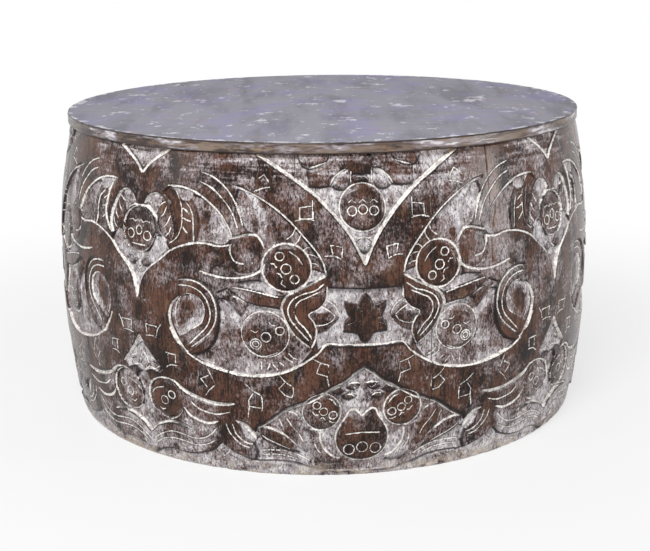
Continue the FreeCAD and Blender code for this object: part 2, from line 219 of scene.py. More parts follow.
def cut_to(outline, level, tone, edge=0.9, crown=0.0, crown_reach=9.0, dip=0.0):
    """Takes the inside of an outline to a level, in mm below the barrel, and gives it a wash."""
    bank_reach = 4.5
    dip_reach = 4.0
    outline = np.array([*outline, outline[0]], float)
    window, distance, _, _ = measure(outline, max(crown_reach, dip_reach * 3))
    path = on_panel(outline)
    y = np.arange(window[0].start, window[0].stop) * cell
    x = np.arange(window[1].start, window[1].stop) * cell
    inside = np.zeros(distance.shape, bool)
    for start, end in zip(path[:-1], path[1:]):
        crossed = (start[1] > y) != (end[1] > y)
        if crossed.any():
            at = start[0] + (y[crossed] - start[1]) * (end[0] - start[0]) / (end[1] - start[1])
            inside[crossed] ^= x[None, :] < at[:, None]
    signed = np.where(inside, distance, -distance)
    share = soft_step(-edge, edge, signed)
    inwards = np.clip(signed, 0, None)
    depth = level + 1.6 * crown * (1 - np.clip(signed / crown_reach, 0, 1)) ** 2
    depth = depth + dip * np.exp(-inwards / dip_reach)
    for sheet, value in ((relief, depth), (wash, tone)):
        sheet[window] = sheet[window] * (1 - share) + value * share
    bank[window] = bank[window] * (1 - share) + share * np.exp(-inwards / bank_reach)


def flag(square, line):
    """A small open square with a line below or above it."""
    gouge(square, 2.4, tail=1)
    draw(2.4, line)


def ring(centre, radius, width, lean=0, squash=1.0):
    gouge(oval(centre, radius, lean, squash), width, tail=0)


def face(centre, radius, tilt, eyes, brows, mouth=None, squash=1.0, tone=0.12, ring_width=4.0):
    """A round face: a raised disc in a white ring, with ring eyes, brows and a mouth line."""
    cut_to(oval(centre, radius, tilt, squash), 0.9, tone, crown=1.6, crown_reach=10)
    ring(centre, radius + ring_width / 3, ring_width, tilt, squash)
    for place, size in eyes:
        ring(place, size, 2.5)
    for path in brows:
        gouge(path, 2.0, tail=1)
    if mouth is not None:
        draw(2.6, mouth)


# The grounds
low_side = smooth([(-300, 72), (-270, 76), (-236, 72), (-214, 88), (-186, 80), (-166, 74), (-176, 46),
                   (-200, 26), (-250, 20), (-300, 14)])
cut_to(mirrored(low_side, side), 0.0, 0.74, edge=6.0)
cut_to([(-226, 126), (-190, 116), (-156, 112), (-150, 88), (-180, 78), (-212, 74), (-224, 96)], 0.0, 0.5,
       edge=6.0)
vee_line = smooth([(-106, 487), (-60, 460), (-20, 433.5), (10, 404), (30, 378), (43, 354), (53, 330)])
cut_to(mirrored(vee_line, front), 4.2, 0.78, dip=0.8)
under_arch = curves(
    [(-130, 435), (-100, 424), (-70, 404), (-44, 380), (-24, 356), (-12, 336), (-4, 316)],
    [(-30, 303), (-60, 286), (-92, 290), (-94, 320), (-96, 350), (-99, 368)],
    [(-116, 380), (-126, 400), (-134, 418), (-130, 435)],
)
cut_to(under_arch, 2.6, 0.5)
wing_inside = curves(
    [(-208, 424), (-185, 418), (-170, 408), (-157, 397), (-146, 384), (-138, 366)],
    [(-150, 356), (-170, 358), (-192, 357)],
    [(-190, 375), (-192, 395), (-200, 412), (-208, 424)],
)
cut_to(wing_inside, 1.8, 0.55)
side_vee = [(-300, 262), (-296, 280), (-288, 298), (-273, 314), (-256, 327), (-240, 341), (-249, 358),
            (-266, 344), (-280, 333), (-300, 329)]
cut_to(mirrored(side_vee, side), 3.6, 0.85)
side_top = smooth([(-300, 452), (-290, 463), (-275, 474), (-252, 487)])
cut_to(mirrored(side_top, side), 3.2, 0.5)
hollow = curves(
    [(-157, 275), (-132, 278), (-100, 268), (-66, 262), (-61, 250), (-48, 227), (-22, 204)],
    [(-45, 178), (-80, 165), (-125, 163), (-170, 169), (-203, 184)],
    [(-180, 193), (-165, 210), (-157, 232), (-155, 252), (-157, 275)],
)
cut_to(hollow, 3.2, 0.58)
centre_panel = [(53, 294), (1, 296), (-1, 286), (-3, 277), (-12, 266), (-26, 256), (-20, 246), (-16, 236),
                (-18, 222), (-14, 205), (-2, 210), (53, 208)]
cut_to(mirrored(centre_panel, front), 3.8, 0.9)
low_edge = smooth([(53, 177), (40, 168), (20, 152), (0, 141), (-30, 124), (-62, 111), (-85, 93), (-107, 79)])
low_ground = [*low_edge, (-112, 60), (-106, 38), (-112, 20), (-60, 10), (53, 6)]
cut_to(mirrored(low_ground, front), 4.0, 0.6)
low_tip = [(53, 171), (36, 158), (20, 148), (26, 136), (36, 122), (44, 110), (53, 102)]
cut_to(mirrored(low_tip, front), 4.0, 0.85, edge=3.5)
pyramid = [(-300, 199), (-288, 180), (-275, 165), (-260, 150), (-268, 141), (-284, 147), (-300, 138)]
cut_to(mirrored(pyramid, side), 3.6, 0.9)
side_gap = [(-300, 140), (-290, 138), (-286, 128), (-296, 108), (-290, 85), (-270, 72), (-240, 68),
            (-216, 61), (-250, 66), (-280, 58), (-300, 42)]
cut_to(mirrored(side_gap, side), 3.0, 0.65)
foot_at_side = [(-280, 15), (-258, 20), (-235, 18), (-213, 20), (-195, 25), (-178, 33)]
foot_at_front = [(-166, 45), (-150, 34), (-130, 26), (-112, 22)]
foot = curves([(-330, 8), (-300, 4), *foot_at_side, (-166, 45)],
              [*foot_at_front[1:], (-93, 25), (-72, 25), (-50, 22), (-28, 15), (0, 8), (60, 7)])
cut_to([*foot, (60, -6), (-330, -6)], 2.2, 0.72, edge=1.4)
score(smooth([(-300, 5), *foot_at_side, (-164, 47)]), 3.4)
score(smooth([*foot_at_front, (-93, 23), (-72, 24), (-50, 22), (-28, 15), (0, 8)]), 3.6)

# Under the rim, in the first vee
flap = smooth([(-43, 488), (-41, 478), (-36, 470), (-28, 466), (-16, 467), (-4, 472), (4, 480), (5, 488)])
cut_to(flap, 1.2, 0.38, crown=1.2)
score(flap, 3.2)
panel = [(-28, 465), (-27, 452), (-25, 441), (-8, 440), (6, 442), (14, 450), (24, 462), (34, 466), (34, 488),
         (6, 488), (4, 478), (-6, 471), (-18, 467)]
cut_to(panel, 1.0, 0.3, crown=1.0, crown_reach=6)
score([*panel[:4], (4, 441)], 2.0)
petal = curves([(37, 467), (25, 463), (14, 454), (7, 442)], [(18, 436), (29, 438), (35, 448), (37, 467)])
cut_to(petal, 1.4, 0.72, crown=1.4, crown_reach=7)
score(petal, 2.0)
draw(4.4, [(6, 444), (12, 454), (20, 461), (30, 466)], tail=3)
top_band = [(30, 488), (32, 468), (36, 457), (44, 459), (53, 457)]
cut_to(mirrored(top_band, front), 0.6, 0.08, crown=1.0)
curl = loop([(42, 450), (48, 455), (53, 454), (53, 449), (47, 446), (42, 446)])
cut_to(curl, 1.6, 0.1, crown=1.0, crown_reach=4)
score(smooth([(40, 449), (46, 456), (53, 457)]))
chin = loop([(53, 370), (60, 366), (66, 358), (60, 350), (53, 345), (46, 350), (40, 358), (46, 366)])
cut_to(chin, 1.2, 0.95, crown=1.6, crown_reach=7)
score(chin, 3.2)
gouge([(43, 360), (50, 357), (53, 350), (56, 357), (63, 360)], 1.6, fill=0.7)
gouge([(38, 364), (53, 332)], 3.4, tail=2)
draw(2.4, [(36, 374), (46, 368), (53, 370)])
draw(3.0, [(38, 446), (37, 455), (38, 464)])
draw(3.4, [(-25, 467.5), (-12, 471.5), (0, 475)])
face((53, 412), 33, 0, [((37, 408), 6.5), ((53, 410), 6.5)],
     [[(31, 419), (37, 424), (43, 419)], [(47, 419), (53, 424), (59, 419)]], tone=0.14, ring_width=3.2)
gouge(vee_line, 4.7, tail=1)

# The inner arch
wing_tip = smooth([(-141, 441), (-122, 431), (-108, 413), (-100, 392), (-98, 372)])
cut_to([*wing_tip, (-88, 360), (-85, 384), (-91, 408), (-105, 428), (-123, 438)], 1.6, 0.92, edge=1.6)
draw(3.6, [(-132, 438), (-100, 426), (-70, 408), (-48, 389), (-32, 371), (-15, 350), (-6, 334), (-2, 316)],
     tail=2)
draw(2.0, [(-118, 441), (-95, 431), (-68, 413), (-45, 394), (-28, 375), (-12, 352)], fill=0.3)
draw(2.8, [(-58, 366), (-50, 372), (-44, 384)], [(-46, 358), (-40, 366), (-36, 376)],
     [(-34, 350), (-28, 355), (-22, 356)], [(-28, 345), (-20, 344), (-12, 341)],
     [(-22, 332), (-16, 331), (-12, 328)])
cut_to([(-2, 317), (-22, 324), (-27, 316), (-31, 304), (-20, 306), (-10, 311)], 4.2, 0.95)
face((-58, 325), 34, -12, [((-67, 342), 6.2), ((-58, 324), 7.2), ((-46, 309), 6.2)],
     [[(-81, 331), (-75, 331), (-71, 325)], [(-72, 318), (-66, 316), (-63, 310)],
      [(-63, 308), (-65, 302), (-58, 297)]],
     mouth=[(-54, 350), (-43, 342), (-34, 330)], tone=0.1, ring_width=3.9)

# The bird's head, the hook and the wing's arches
head = curves([(-138, 366), (-120, 371), (-105, 373), (-97, 367), (-92, 352), (-94, 335), (-100, 318)],
              [(-118, 313), (-132, 318), (-141, 340), (-138, 366)])
cut_to(head, 0.3, 0.06, crown=1.0)
draw(4.2, [(-140, 357), (-140, 345), (-133, 333), (-118, 329)], tail=1)
draw(4.6, [(-142, 364), (-128, 368), (-112, 372), (-102, 371), (-94, 362), (-90, 352)], tail=2)
draw(4.6, [(-186, 315), (-170, 311), (-150, 308), (-125, 309), (-105, 314), (-93, 322), (-88, 330)],
     [(-248, 434), (-225, 434), (-200, 428), (-178, 416), (-157, 399), (-143, 380), (-136, 364)])
draw(3.4, [(-192, 457), (-172, 451), (-153, 439), (-138, 422), (-128, 402), (-121, 382)],
     [(-192, 443), (-174, 436), (-156, 422), (-140, 404), (-128, 378)])
draw(4.4, [(-246, 335), (-228, 345), (-205, 353), (-180, 356), (-155, 353), (-138, 356)], tail=1.5)
draw(4.6, [(-238, 340), (-255, 325.5), (-272, 312.5), (-286.5, 298), (-295, 279), (-299.5, 260)], tail=1)

# The crescent and the feather strip beside the ear
crescent = curves([(-243, 434), (-230, 421), (-223, 405), (-221, 385), (-225, 363), (-236, 352)],
                  [(-231, 372), (-236, 394), (-243, 410), (-256, 422), (-243, 434)])
cut_to(crescent, 0.4, 0.12, crown=1.2)
strip = curves([(-224, 412), (-213, 411), (-205, 398), (-201, 378), (-199, 356)],
               [(-224, 356), (-220, 372), (-219, 390), (-224, 412)])
cut_to(strip, 1.4, 0.22)
strip_end = smooth([(-243, 433), (-222, 431), (-203, 427), (-208, 415), (-222, 416), (-232, 424),
                    (-243, 433)])
cut_to(strip_end, 1.2, 0.9, edge=1.6)
draw(3.6, [(-236, 430), (-226, 414), (-221, 395), (-221, 375), (-227, 361), (-238, 351)])
draw(3.2, [(-216, 413), (-205, 402), (-200, 385), (-199, 368), (-197, 356)])
ear_back = [(-291, 404), (-283, 416), (-269, 421), (-256, 416), (-246, 402), (-238, 385), (-234, 366),
            (-240, 350)]
ear = curves(ear_back, [(-256, 360), (-264, 372), (-270, 388), (-280, 397), (-291, 404)])
cut_to(ear, 1.4, 0.3, crown=1.0)
draw(3.6, ear_back, tail=1)
lobe = smooth([(-290, 404), (-283, 415), (-270, 420), (-260, 416), (-262, 404), (-268, 392), (-266, 374)])
cut_to([*lobe, (-272, 388), (-280, 397)], 2.0, 0.85, crown=1.2, crown_reach=5)
score(smooth([(-252, 411), (-262, 403), (-267, 388), (-264, 372), (-254, 360)]), 1.8)
draw(2.8, [(-223, 404), (-216, 401), (-209, 396)], [(-222, 391), (-214, 387), (-205, 385)],
     [(-219, 377), (-214, 371), (-209, 367)], [(-264, 401), (-259, 406), (-252, 410)],
     [(-260, 386), (-254, 392), (-250, 403)], [(-252, 373), (-246, 380), (-242, 391)],
     [(-249, 359), (-242, 366), (-239, 376)])

# The face at the side
collar = [(-253, 359), (-240, 342), (-256, 330), (-273, 315), (-281, 320), (-278, 333), (-271, 345),
          (-266, 358), (-259, 362)]
cut_to(mirrored(collar, side), 2.4, 0.97)
face((-300, 364), 32, 0, [((-283, 356), 7), ((-301, 363), 7)],
     [[(-300, 375), (-297, 379), (-292, 375), (-286, 378), (-278, 376)]],
     squash=1.06, tone=0.2, ring_width=2.0)
draw(4.6, [(-300, 401), (-286, 400), (-273, 391), (-267, 380)])
gouge([(-318, 341), (-286, 341)], 2.8, tail=1)
fold = loop([(-297, 314), (-291, 322), (-282, 325), (-276, 318), (-281, 309), (-290, 308)])
cut_to(fold, 1.2, 0.5, crown=1.2, crown_reach=5)
score(fold, 1.8)
draw(1.8, [(-292, 312), (-286, 318), (-279, 320)], fill=0.6)
gouge([(-300, 316), (-293, 310), (-300, 303)], 2.4, tail=0)
score(smooth([(-286, 306), (-292, 299), (-300, 296)]), 2.2)
gouge(side_top + (1.5, -2.5), 6.4, tail=0)

# The fingers
cut_to([(-128, 301), (-106, 305), (-92, 304), (-72, 290), (-62, 284), (-72, 284), (-96, 290), (-118, 294)],
       3.6, 0.95)
cut_to([(-118, 273), (-100, 268), (-84, 264), (-66, 262), (-66, 256), (-84, 259), (-104, 256), (-112, 260)],
       4.2, 0.95)
cut_to([(-157, 274), (-140, 263), (-128, 253), (-120, 240), (-124, 230), (-132, 240), (-140, 250),
        (-150, 262)], 4.0, 0.9)
cut_to([(-160, 284), (-143, 292), (-128, 282), (-112, 270), (-116, 262), (-124, 250), (-134, 262),
        (-146, 273)], 0.8, 0.2, crown=1.0)
draw(2.6, [(-136, 295), (-115, 292), (-95, 288), (-68, 282)])
draw(3.4, [(-134, 281), (-118, 274), (-98, 267), (-66, 261)])

# The scroll
scroll = curves([(-218, 300), (-198, 302), (-178, 296), (-165, 282), (-159, 262), (-160, 240), (-168, 221),
                 (-185, 207), (-204, 191)],
                [(-214, 186), (-228, 206), (-236, 225), (-239, 244), (-233, 261), (-222, 272), (-218, 300)])
cut_to(scroll, 0.6, 0.3, crown=1.0)
eye = loop([(-206, 277), (-190, 275), (-181, 264), (-180, 250), (-185, 238), (-200, 226), (-214, 215),
            (-222, 211), (-231, 226), (-234, 244), (-228, 262)])
cut_to(eye, 2.0, 0.8)
eye_middle = loop([(-217, 265), (-205, 267), (-197, 258), (-197, 246), (-206, 234), (-218, 226), (-225, 240),
                   (-223, 256)])
cut_to(eye_middle, 2.0, 0.1, edge=6.0)
draw(3.4, [(-222, 298), (-201, 299), (-182, 293), (-169, 281), (-162, 262), (-163, 241), (-172, 223),
           (-187, 209), (-205, 195)])
draw(3.2, [(-222, 290), (-202, 290), (-185, 283), (-174, 269), (-170, 250), (-176, 232), (-190, 217),
           (-206, 201)],
     [(-208, 279), (-192, 276), (-181, 264), (-180, 250), (-184, 238), (-200, 225)])
draw(4.0, [(-222, 272), (-233, 260), (-239, 243), (-235, 222), (-224, 203), (-211, 187)], tail=6)
draw(2.6, [(-208, 279), (-219, 272), (-227, 259), (-230, 243), (-227, 227), (-219, 213)], fill=0.55)

# The bent leg
leg_back = [(-2, 315), (-20, 304), (-42, 293), (-58, 283), (-65, 268), (-61, 250), (-48, 226)]
leg = curves([*leg_back, (-24, 204)],
             [(-18, 222), (-17, 236), (-21, 246), (-27, 255), (-13, 265), (-3, 277), (0, 296), (-2, 315)])
cut_to(leg, 0.3, 0.08, crown=1.2)
draw(4.6, [*leg_back, (-26, 206)], tail=1)
draw(2.8, [(-5, 303), (-18, 293), (-36, 287), (-50, 278), (-56, 264), (-52, 249), (-42, 235), (-27, 218)],
     [(-12, 291), (-28, 283), (-42, 275), (-47, 261), (-42, 247), (-32, 236), (-23, 221)])
draw(3.2, [(-1, 298), (-3, 278), (-13, 265), (-27, 256), (-21, 246), (-17, 236), (-18, 220), (-24, 206)])

# The small leaf beside the star, and the star
small = curves([(-2, 274), (6, 267), (12, 260), (16, 252)], [(8, 242), (-2, 233), (-16, 227)])
cut_to([*small, (-17, 238), (-26, 256)], 1.4, 0.35, crown=1.0)
cut_to([(-23, 259), (-10, 269), (-4, 266), (-6, 259)], 1.8, 0.9)
draw(2.8, [(-9, 268), (-1, 264), (5, 259), (10, 254)], [(10, 254), (4, 246), (-7, 241), (-18, 240)],
     tail=0.5)
draw(3.0, [(-2, 277), (7, 271), (12, 264), (16, 255)], tail=1)
petals = [(53, 288), (48, 284), (43.5, 276), (42, 268), (40, 272), (34, 275), (23, 277), (23, 266),
          (29, 252), (23, 245), (21, 237), (21, 229), (33, 228), (42, 226), (45, 218), (49, 213), (53, 212)]
star = mirrored(petals, front)
cut_to(star, 0.4, 0.06, crown=1.4, crown_reach=6)
score(star, 1.6)
gouge([(43, 272), (44, 265), (48, 259)], 1.6, fill=0.4)
gouge([(24, 240), (31, 243), (38, 245)], 1.8, fill=0.6)
gouge([(29, 252), (36, 251)], 1.6, fill=0.3)
gouge([(2, 296), (30, 295), (53, 294)], 2.4, tail=0, fill=0.0, slope=1.1)

# The third face, and the long groove below it
face((-90, 225), 34, 8, [((-103, 211), 8), ((-88, 222), 7), ((-68, 232), 6)],
     [[(-84, 246), (-80, 240), (-74, 240)], [(-110, 232), (-103, 228), (-98, 232)]],
     mouth=[(-99, 190), (-85, 193), (-71, 199)], tone=0.36, ring_width=2.4)
ring((-103, 211), 4.5, 2.2)
for mark in ([(-57, 197), (-50, 190), (-43, 187)], [(-63, 192), (-56, 186), (-50, 183)],
             [(-70, 183), (-63, 177)], [(-84, 181), (-88, 170)], [(-80, 180), (-72, 170)],
             [(-97, 183), (-97, 170)]):
    gouge(mark, 3.0, tail=1)
draw(4.6, [(-238, 222), (-229, 205), (-216, 191), (-198, 179), (-170, 169), (-130, 162), (-95, 162),
           (-62, 169), (-35, 183), (-14, 198)], tail=0, slope=0.8)
draw(3.6, [(-14, 198), (-4, 210), (20, 210), (53, 208.5)], tail=0)
draw(2.2, [(-200, 181), (-188, 188), (-173, 194), (-160, 203)], fill=0.2, slope=1.1)

# The small open squares
flag([(-100, 452), (-92, 458), (-86, 450), (-84, 446)], [(-106, 434), (-92, 439), (-80, 441)])
flag([(-20, 424), (-19, 398), (-38, 397), (-38, 413), (-20, 416)], [(-46, 394), (-30, 397), (-16, 395)])
flag([(20, 341), (22, 357), (5, 360), (8, 346)], [(-4, 344), (10, 344), (21, 339)])
flag([(-11, 183), (-16, 168), (-1, 163), (2, 148)], [(-21, 190), (-10, 184), (3, 180)])
flag([(-62, 153), (-71, 143), (-62, 133), (-52, 130), (-49, 138), (-50, 147)],
     [(-70, 165), (-62, 155), (-50, 147)])
flag([(-110, 133), (-117, 122), (-116, 112), (-99, 111)], [(-121, 148), (-110, 138), (-97, 131)])
flag([(-178, 155), (-191, 148), (-181, 135)], [(-179, 167), (-173, 153), (-168, 141)])
flag([(-250, 180), (-232, 179), (-233, 166)], [(-252, 155), (-243, 161), (-229, 162)])
flag([(-262, 218), (-285, 219), (-283, 204)], [(-289, 200), (-275, 202), (-265, 201)])
gouge([(-1, 163), (2, 172), (1, 180)], 2.0, fill=0.6)
draw(2.8, [(-97, 131), (-96, 120), (-97, 106)])
draw(2.6, [(-116, 112), (-118, 103), (-119, 94)])
gouge([(-168, 141), (-179, 131), (-186, 121)], 2.6, tail=1)
gouge([(-246, 179), (-246, 164)], 2.2, tail=0.5)
gouge([(-265, 203), (-262, 214), (-255, 223)], 2.6, tail=1)

# The low vee: its lids, the fourth face, the heart face and the leaves
gouge(low_edge, 1.9, tail=1, fill=0.0, slope=1.2)
gouge(low_edge + (1.0, -4.5), 3.6, tail=1)
for lid in ([(27, 143), (35, 151), (48, 149), (45, 141), (36, 138)],
            [(20, 133), (31, 137), (44, 130), (35, 123), (24, 125)],
            [(6, 136), (19, 147), (26, 139), (16, 132)]):
    cut_to(loop(lid), 1.4, 0.4, crown=1.4, crown_reach=5)
    score(loop(lid), 1.7)
draw(3.2, [(32, 149), (40, 150.5), (49, 149)])
gouge([(34, 148), (41, 142), (45, 146)], 1.8, fill=0.7)
draw(3.0, [(26, 132), (34, 133), (42, 128)])
draw(3.8, [(-2, 136), (12, 145), (24, 150)], tail=3)
face((-8, 105), 28, -20, [((-15, 117), 5.8), ((-5, 107), 6), ((9, 101), 6)],
     [[(-22, 108), (-18, 102), (-12, 102)], [(-10, 96), (-6, 98), (-2, 93)], [(2, 93), (8, 89), (13, 89)]],
     mouth=[(0, 128), (9, 123), (15, 114)], ring_width=3.2)
heart = smooth([(53, 97), (47, 103), (40, 108), (33, 106), (30, 99), (21, 85), (14, 70), (13, 56), (16, 45),
                (24, 34), (36, 27), (53, 24)])
cut_to(mirrored(heart, front), 0.8, 0.12, crown=1.4)
gouge(heart, 4.2, tail=0)
draw(3.0, [(27, 69), (53, 71)], tail=0.5)
for place in ((33, 44), (53, 47)):
    ring(place, 8.2, 2.6)
tip = curves([(-62, 108), (-50, 103), (-38, 90), (-30, 70), (-28, 50), (-32, 38)],
             [(-46, 48), (-60, 66), (-68, 84), (-62, 108)])
cut_to(tip, 1.6, 0.3, crown=1.2)
low_leaf = curves([(-102, 80), (-86, 77), (-70, 70), (-54, 56), (-40, 38)],
                  [(-62, 42), (-84, 50), (-102, 62), (-102, 80)])
cut_to(low_leaf, 1.2, 0.15, crown=1.2)
arm = curves([(-28, 78), (-14, 78), (-4, 66), (2, 50), (16, 34), (20, 22)],
             [(-6, 22), (-22, 34), (-28, 54), (-28, 78)])
cut_to(arm, 1.2, 0.5, crown=1.2)
draw(4.0, [(-62, 106), (-52, 104), (-43, 98)], fill=0.9)
draw(4.0, [(-103, 79), (-86, 77), (-70, 70), (-55, 59), (-46, 51)])
draw(2.8, [(-61, 96), (-52, 82), (-42, 70), (-35, 56)], [(-101, 66), (-88, 58), (-72, 51), (-54, 43)])
draw(2.6, [(-73, 92), (-69, 84), (-66, 76)], [(-19, 63), (-17, 50), (-9, 37)])
draw(4.8, [(-11, 73), (-9, 57), (-2, 44), (8, 34), (20, 28)], slope=0.8)
draw(3.4, [(-104, 38), (-84, 40), (-62, 39), (-42, 33), (-26, 24)],
     [(-100, 31), (-80, 33), (-60, 31), (-42, 25)], tail=3, fill=0.8)

# The side figure's lower part, and the waves over the foot
gouge([(-300, 199), (-288, 181), (-274, 165), (-259, 149)], 4.2, tail=1)
for notch in ([(-300, 186), (-293, 181), (-287, 175)], [(-285, 157), (-278, 156), (-271, 152)],
              [(-296, 143), (-290, 154), (-284, 147)]):
    score(notch, 3.0)
for tooth in ([(-300, 170), (-294, 162), (-290, 152)], [(-284, 164), (-277, 160), (-268, 159)]):
    gouge(tooth, 3.2, tail=1)
gouge([(-314, 142), (-300, 141), (-290, 148), (-278, 146), (-268, 153)], 3.0, tail=0.5)
face((-260, 103), 32, 15, [((-248, 111), 6.2), ((-263, 100), 6.8)], [],
     mouth=[(-289, 106), (-280, 115), (-261, 122)], tone=0.28, ring_width=2.2)
feather = curves([(-243, 140), (-226, 128), (-205, 120), (-180, 114), (-160, 113), (-138, 114)],
                 [(-158, 108), (-180, 107), (-202, 112), (-222, 122), (-243, 140)])
cut_to(feather, 1.6, 0.95, edge=1.6)
cut_to([(-136, 86), (-124, 84), (-114, 76), (-104, 62), (-112, 54), (-126, 62)], 2.2, 0.95, edge=1.6)
diamond = [(-176, 33), (-165, 44), (-153, 33), (-165, 23)]
cut_to(diamond, 0.8, 0.8, crown=1.0)
gouge([*diamond, diamond[0]], 2.4, tail=0)
draw(8.5, [(-138, 86), (-127, 79), (-117, 69), (-109, 58)], slope=0.5)
draw(7.0, [(-240, 137), (-222, 123), (-202, 115), (-180, 110.5), (-158, 110), (-140, 113)], slope=0.6)
draw(6.4, [(-226, 95), (-216, 84), (-200, 78), (-185, 76), (-168, 81)], slope=0.6)
draw(5.0, [(-300, 42), (-288, 53), (-272, 61), (-252, 66), (-234, 66), (-216, 60)], tail=1)
draw(4.2, [(-288, 124), (-272, 134), (-252, 138), (-236, 134), (-218, 122), (-200, 116), (-180, 112),
           (-160, 111), (-140, 114)])
draw(3.6, [(-213, 107), (-200, 98), (-185, 94), (-168, 93), (-148, 99)])
draw(3.2, [(-156, 80), (-151, 66), (-142, 55), (-132, 47), (-118, 43)],
     [(-145, 80), (-141, 66), (-132, 56), (-118, 50), (-112, 50)],
     [(-292, 33), (-275, 43), (-255, 50), (-235, 49), (-212, 46), (-192, 51), (-180, 60), (-172, 69)],
     [(-292, 24), (-275, 34), (-255, 39), (-235, 38), (-210, 35), (-190, 40), (-176, 48)])
draw(2.4, [(-276, 89), (-270, 84), (-262, 86)])
draw(2.2, [(-160, 30), (-146, 22), (-130, 16)], fill=0.3)
draw(2.2, [(-86, 15), (-66, 17), (-48, 14)], fill=0.5)
draw(2.4, [(-272, 5), (-250, 11), (-228, 10), (-206, 13)], fill=0.5)


def blurred(field, reach):
    """The field with each cell evened out over its neighbours within a reach in mm."""
    n = int(reach / cell)
    for _ in range(2):
        total = np.cumsum(np.pad(field, [(n + 1, n), (0, 0)], "edge"), 0, dtype=np.float64)
        field = ((total[2 * n + 1 :] - total[: -2 * n - 1]) / (2 * n + 1)).T
    return field


ground_scale = 1.5
gouge_scale = 1.1
ground = ground_scale * relief
cut = ground + gouge_scale * groove
# Painted shade: a dark band along the raised side of every step in the grounds
painted_edge_shade = np.clip(blurred(blurred(ground, 2.5), 2.5) - ground, 0, 2)
# The wash pools beside the wide lines and along the banks of the grounds
halo = np.clip(2.4 * blurred(blurred(contour, 3.0), 3.0), 0, 1)
pooled = np.maximum(halo, 0.9 * bank) * soft_step(0.7, 2.2, relief)
wash = 1.1 * wash - 0.06 + 0.3 * pooled
# Painted light and shade: the wash is painted paler on the ledges that face up, as if lit from above, and
# the stain painted darker with shade under the ledges that face down
painted_ledge_light = np.clip(np.gradient(blurred(cut, 1.0), cell, axis=0), -1, 1)
# Painted shade: a dark band on the wood beside the filled lines
painted_line_shade = np.clip(3.0 * blurred(filled, 1.6), 0, 1) * (1 - filled) * (1 - pooled)
colour_sheets = {"filler": filled, "painted_line_shade": painted_line_shade, "wash": wash, "painted_edge_shade": painted_edge_shade,
                 "painted_ledge_light": painted_ledge_light, "splits_and_cut_shade": unfilled_cut_shade}
# The ornament's middle is a little to the right of the front
front_shift = 5.0


def between(field, r, c, beside, fx, fy):
    """The value of a field between four cells, in shares of the way across and up."""
    low = field[r, c] * (1 - fx) + field[r, beside] * fx
    high = field[r + 1, c] * (1 - fx) + field[r + 1, beside] * fx
    return low * (1 - fy) + high * fy


def look_up(field, across, height):
    """The value of a drawn field at places given in mm across the half panel and up the drum."""
    x = np.clip((across + margin) / cell, 0, cols - 1.001)
    y = np.clip(height / cell, 0, rows - 1.001)
    c, r = x.astype(int), y.astype(int)
    return between(field, r, c, c + 1, x - c, y - r)


def mottle(around, height, wide, tall, seed):
    """Soft chance values from 0 to 1 that join up round the drum, in specks wide and tall in mm."""
    count = max(3, round(girth / wide))
    tiers = int(body_height / tall) + 3
    values = np.random.default_rng(seed).random((tiers, count))
    x = (around / girth * count) % count
    y = np.clip(height / tall, 0, tiers - 1.001)
    c, r = x.astype(int) % count, y.astype(int)
    fx, fy = x - np.floor(x), y - r
    fx, fy = fx * fx * (3 - 2 * fx), fy * fy * (3 - 2 * fy)
    return between(values, r, c, (c + 1) % count, fx, fy)


def hand_wander(around, height):
    """How far the carver's hand strayed from the drawing at a place, in mm along and up."""
    turn = around / belly_radius
    along = 1.5 * np.sin(3 * turn + height / 90 + 0.6) + 1.1 * np.sin(5 * turn - height / 60 + 2.1)
    up = 1.4 * np.sin(2 * turn + height / 110 + 4.0) + 1.0 * np.sin(7 * turn + height / 75 + 1.2)
    return along, up


step = 1.15
outer_heights = np.concatenate([
    [0, 1.0, 2.0],
    np.linspace(foot_chamfer, body_height - shoulder_chamfer, int(480 / step)),
    [484, 485],
])
outer_count = len(outer_heights)
stave_width = belly_radius * math.radians(stave_pitch) - glue_line
from_seam = np.array([0, 0.5, 1.1, 1.8])
inner_columns = np.linspace(2.8, stave_width - 2.8, int(stave_width / step))
stave_columns = np.concatenate([from_seam, inner_columns, stave_width - from_seam[::-1]])
back_line = [(body_height, upper_seat[0]), (upper_seat[1], upper_seat[0])]
for inner_height in np.linspace(upper_seat[1], lower_seat[1], 12):
    back_line.append((inner_height, float(barrel_radius(inner_height)) - stave_thickness))
back_line += [(lower_seat[1], lower_seat[0]), (0, lower_seat[0])]


def uncut_radius(height):
    """The stave's outer radius with its foot and shoulder chamfered, before carving."""
    radius = barrel_radius(np.clip(height, foot_chamfer, body_height - shoulder_chamfer))
    radius = radius - np.clip(foot_chamfer - height, 0, None) * chamfer_slope
    return radius - np.clip(height - body_height + shoulder_chamfer, 0, None) * chamfer_slope


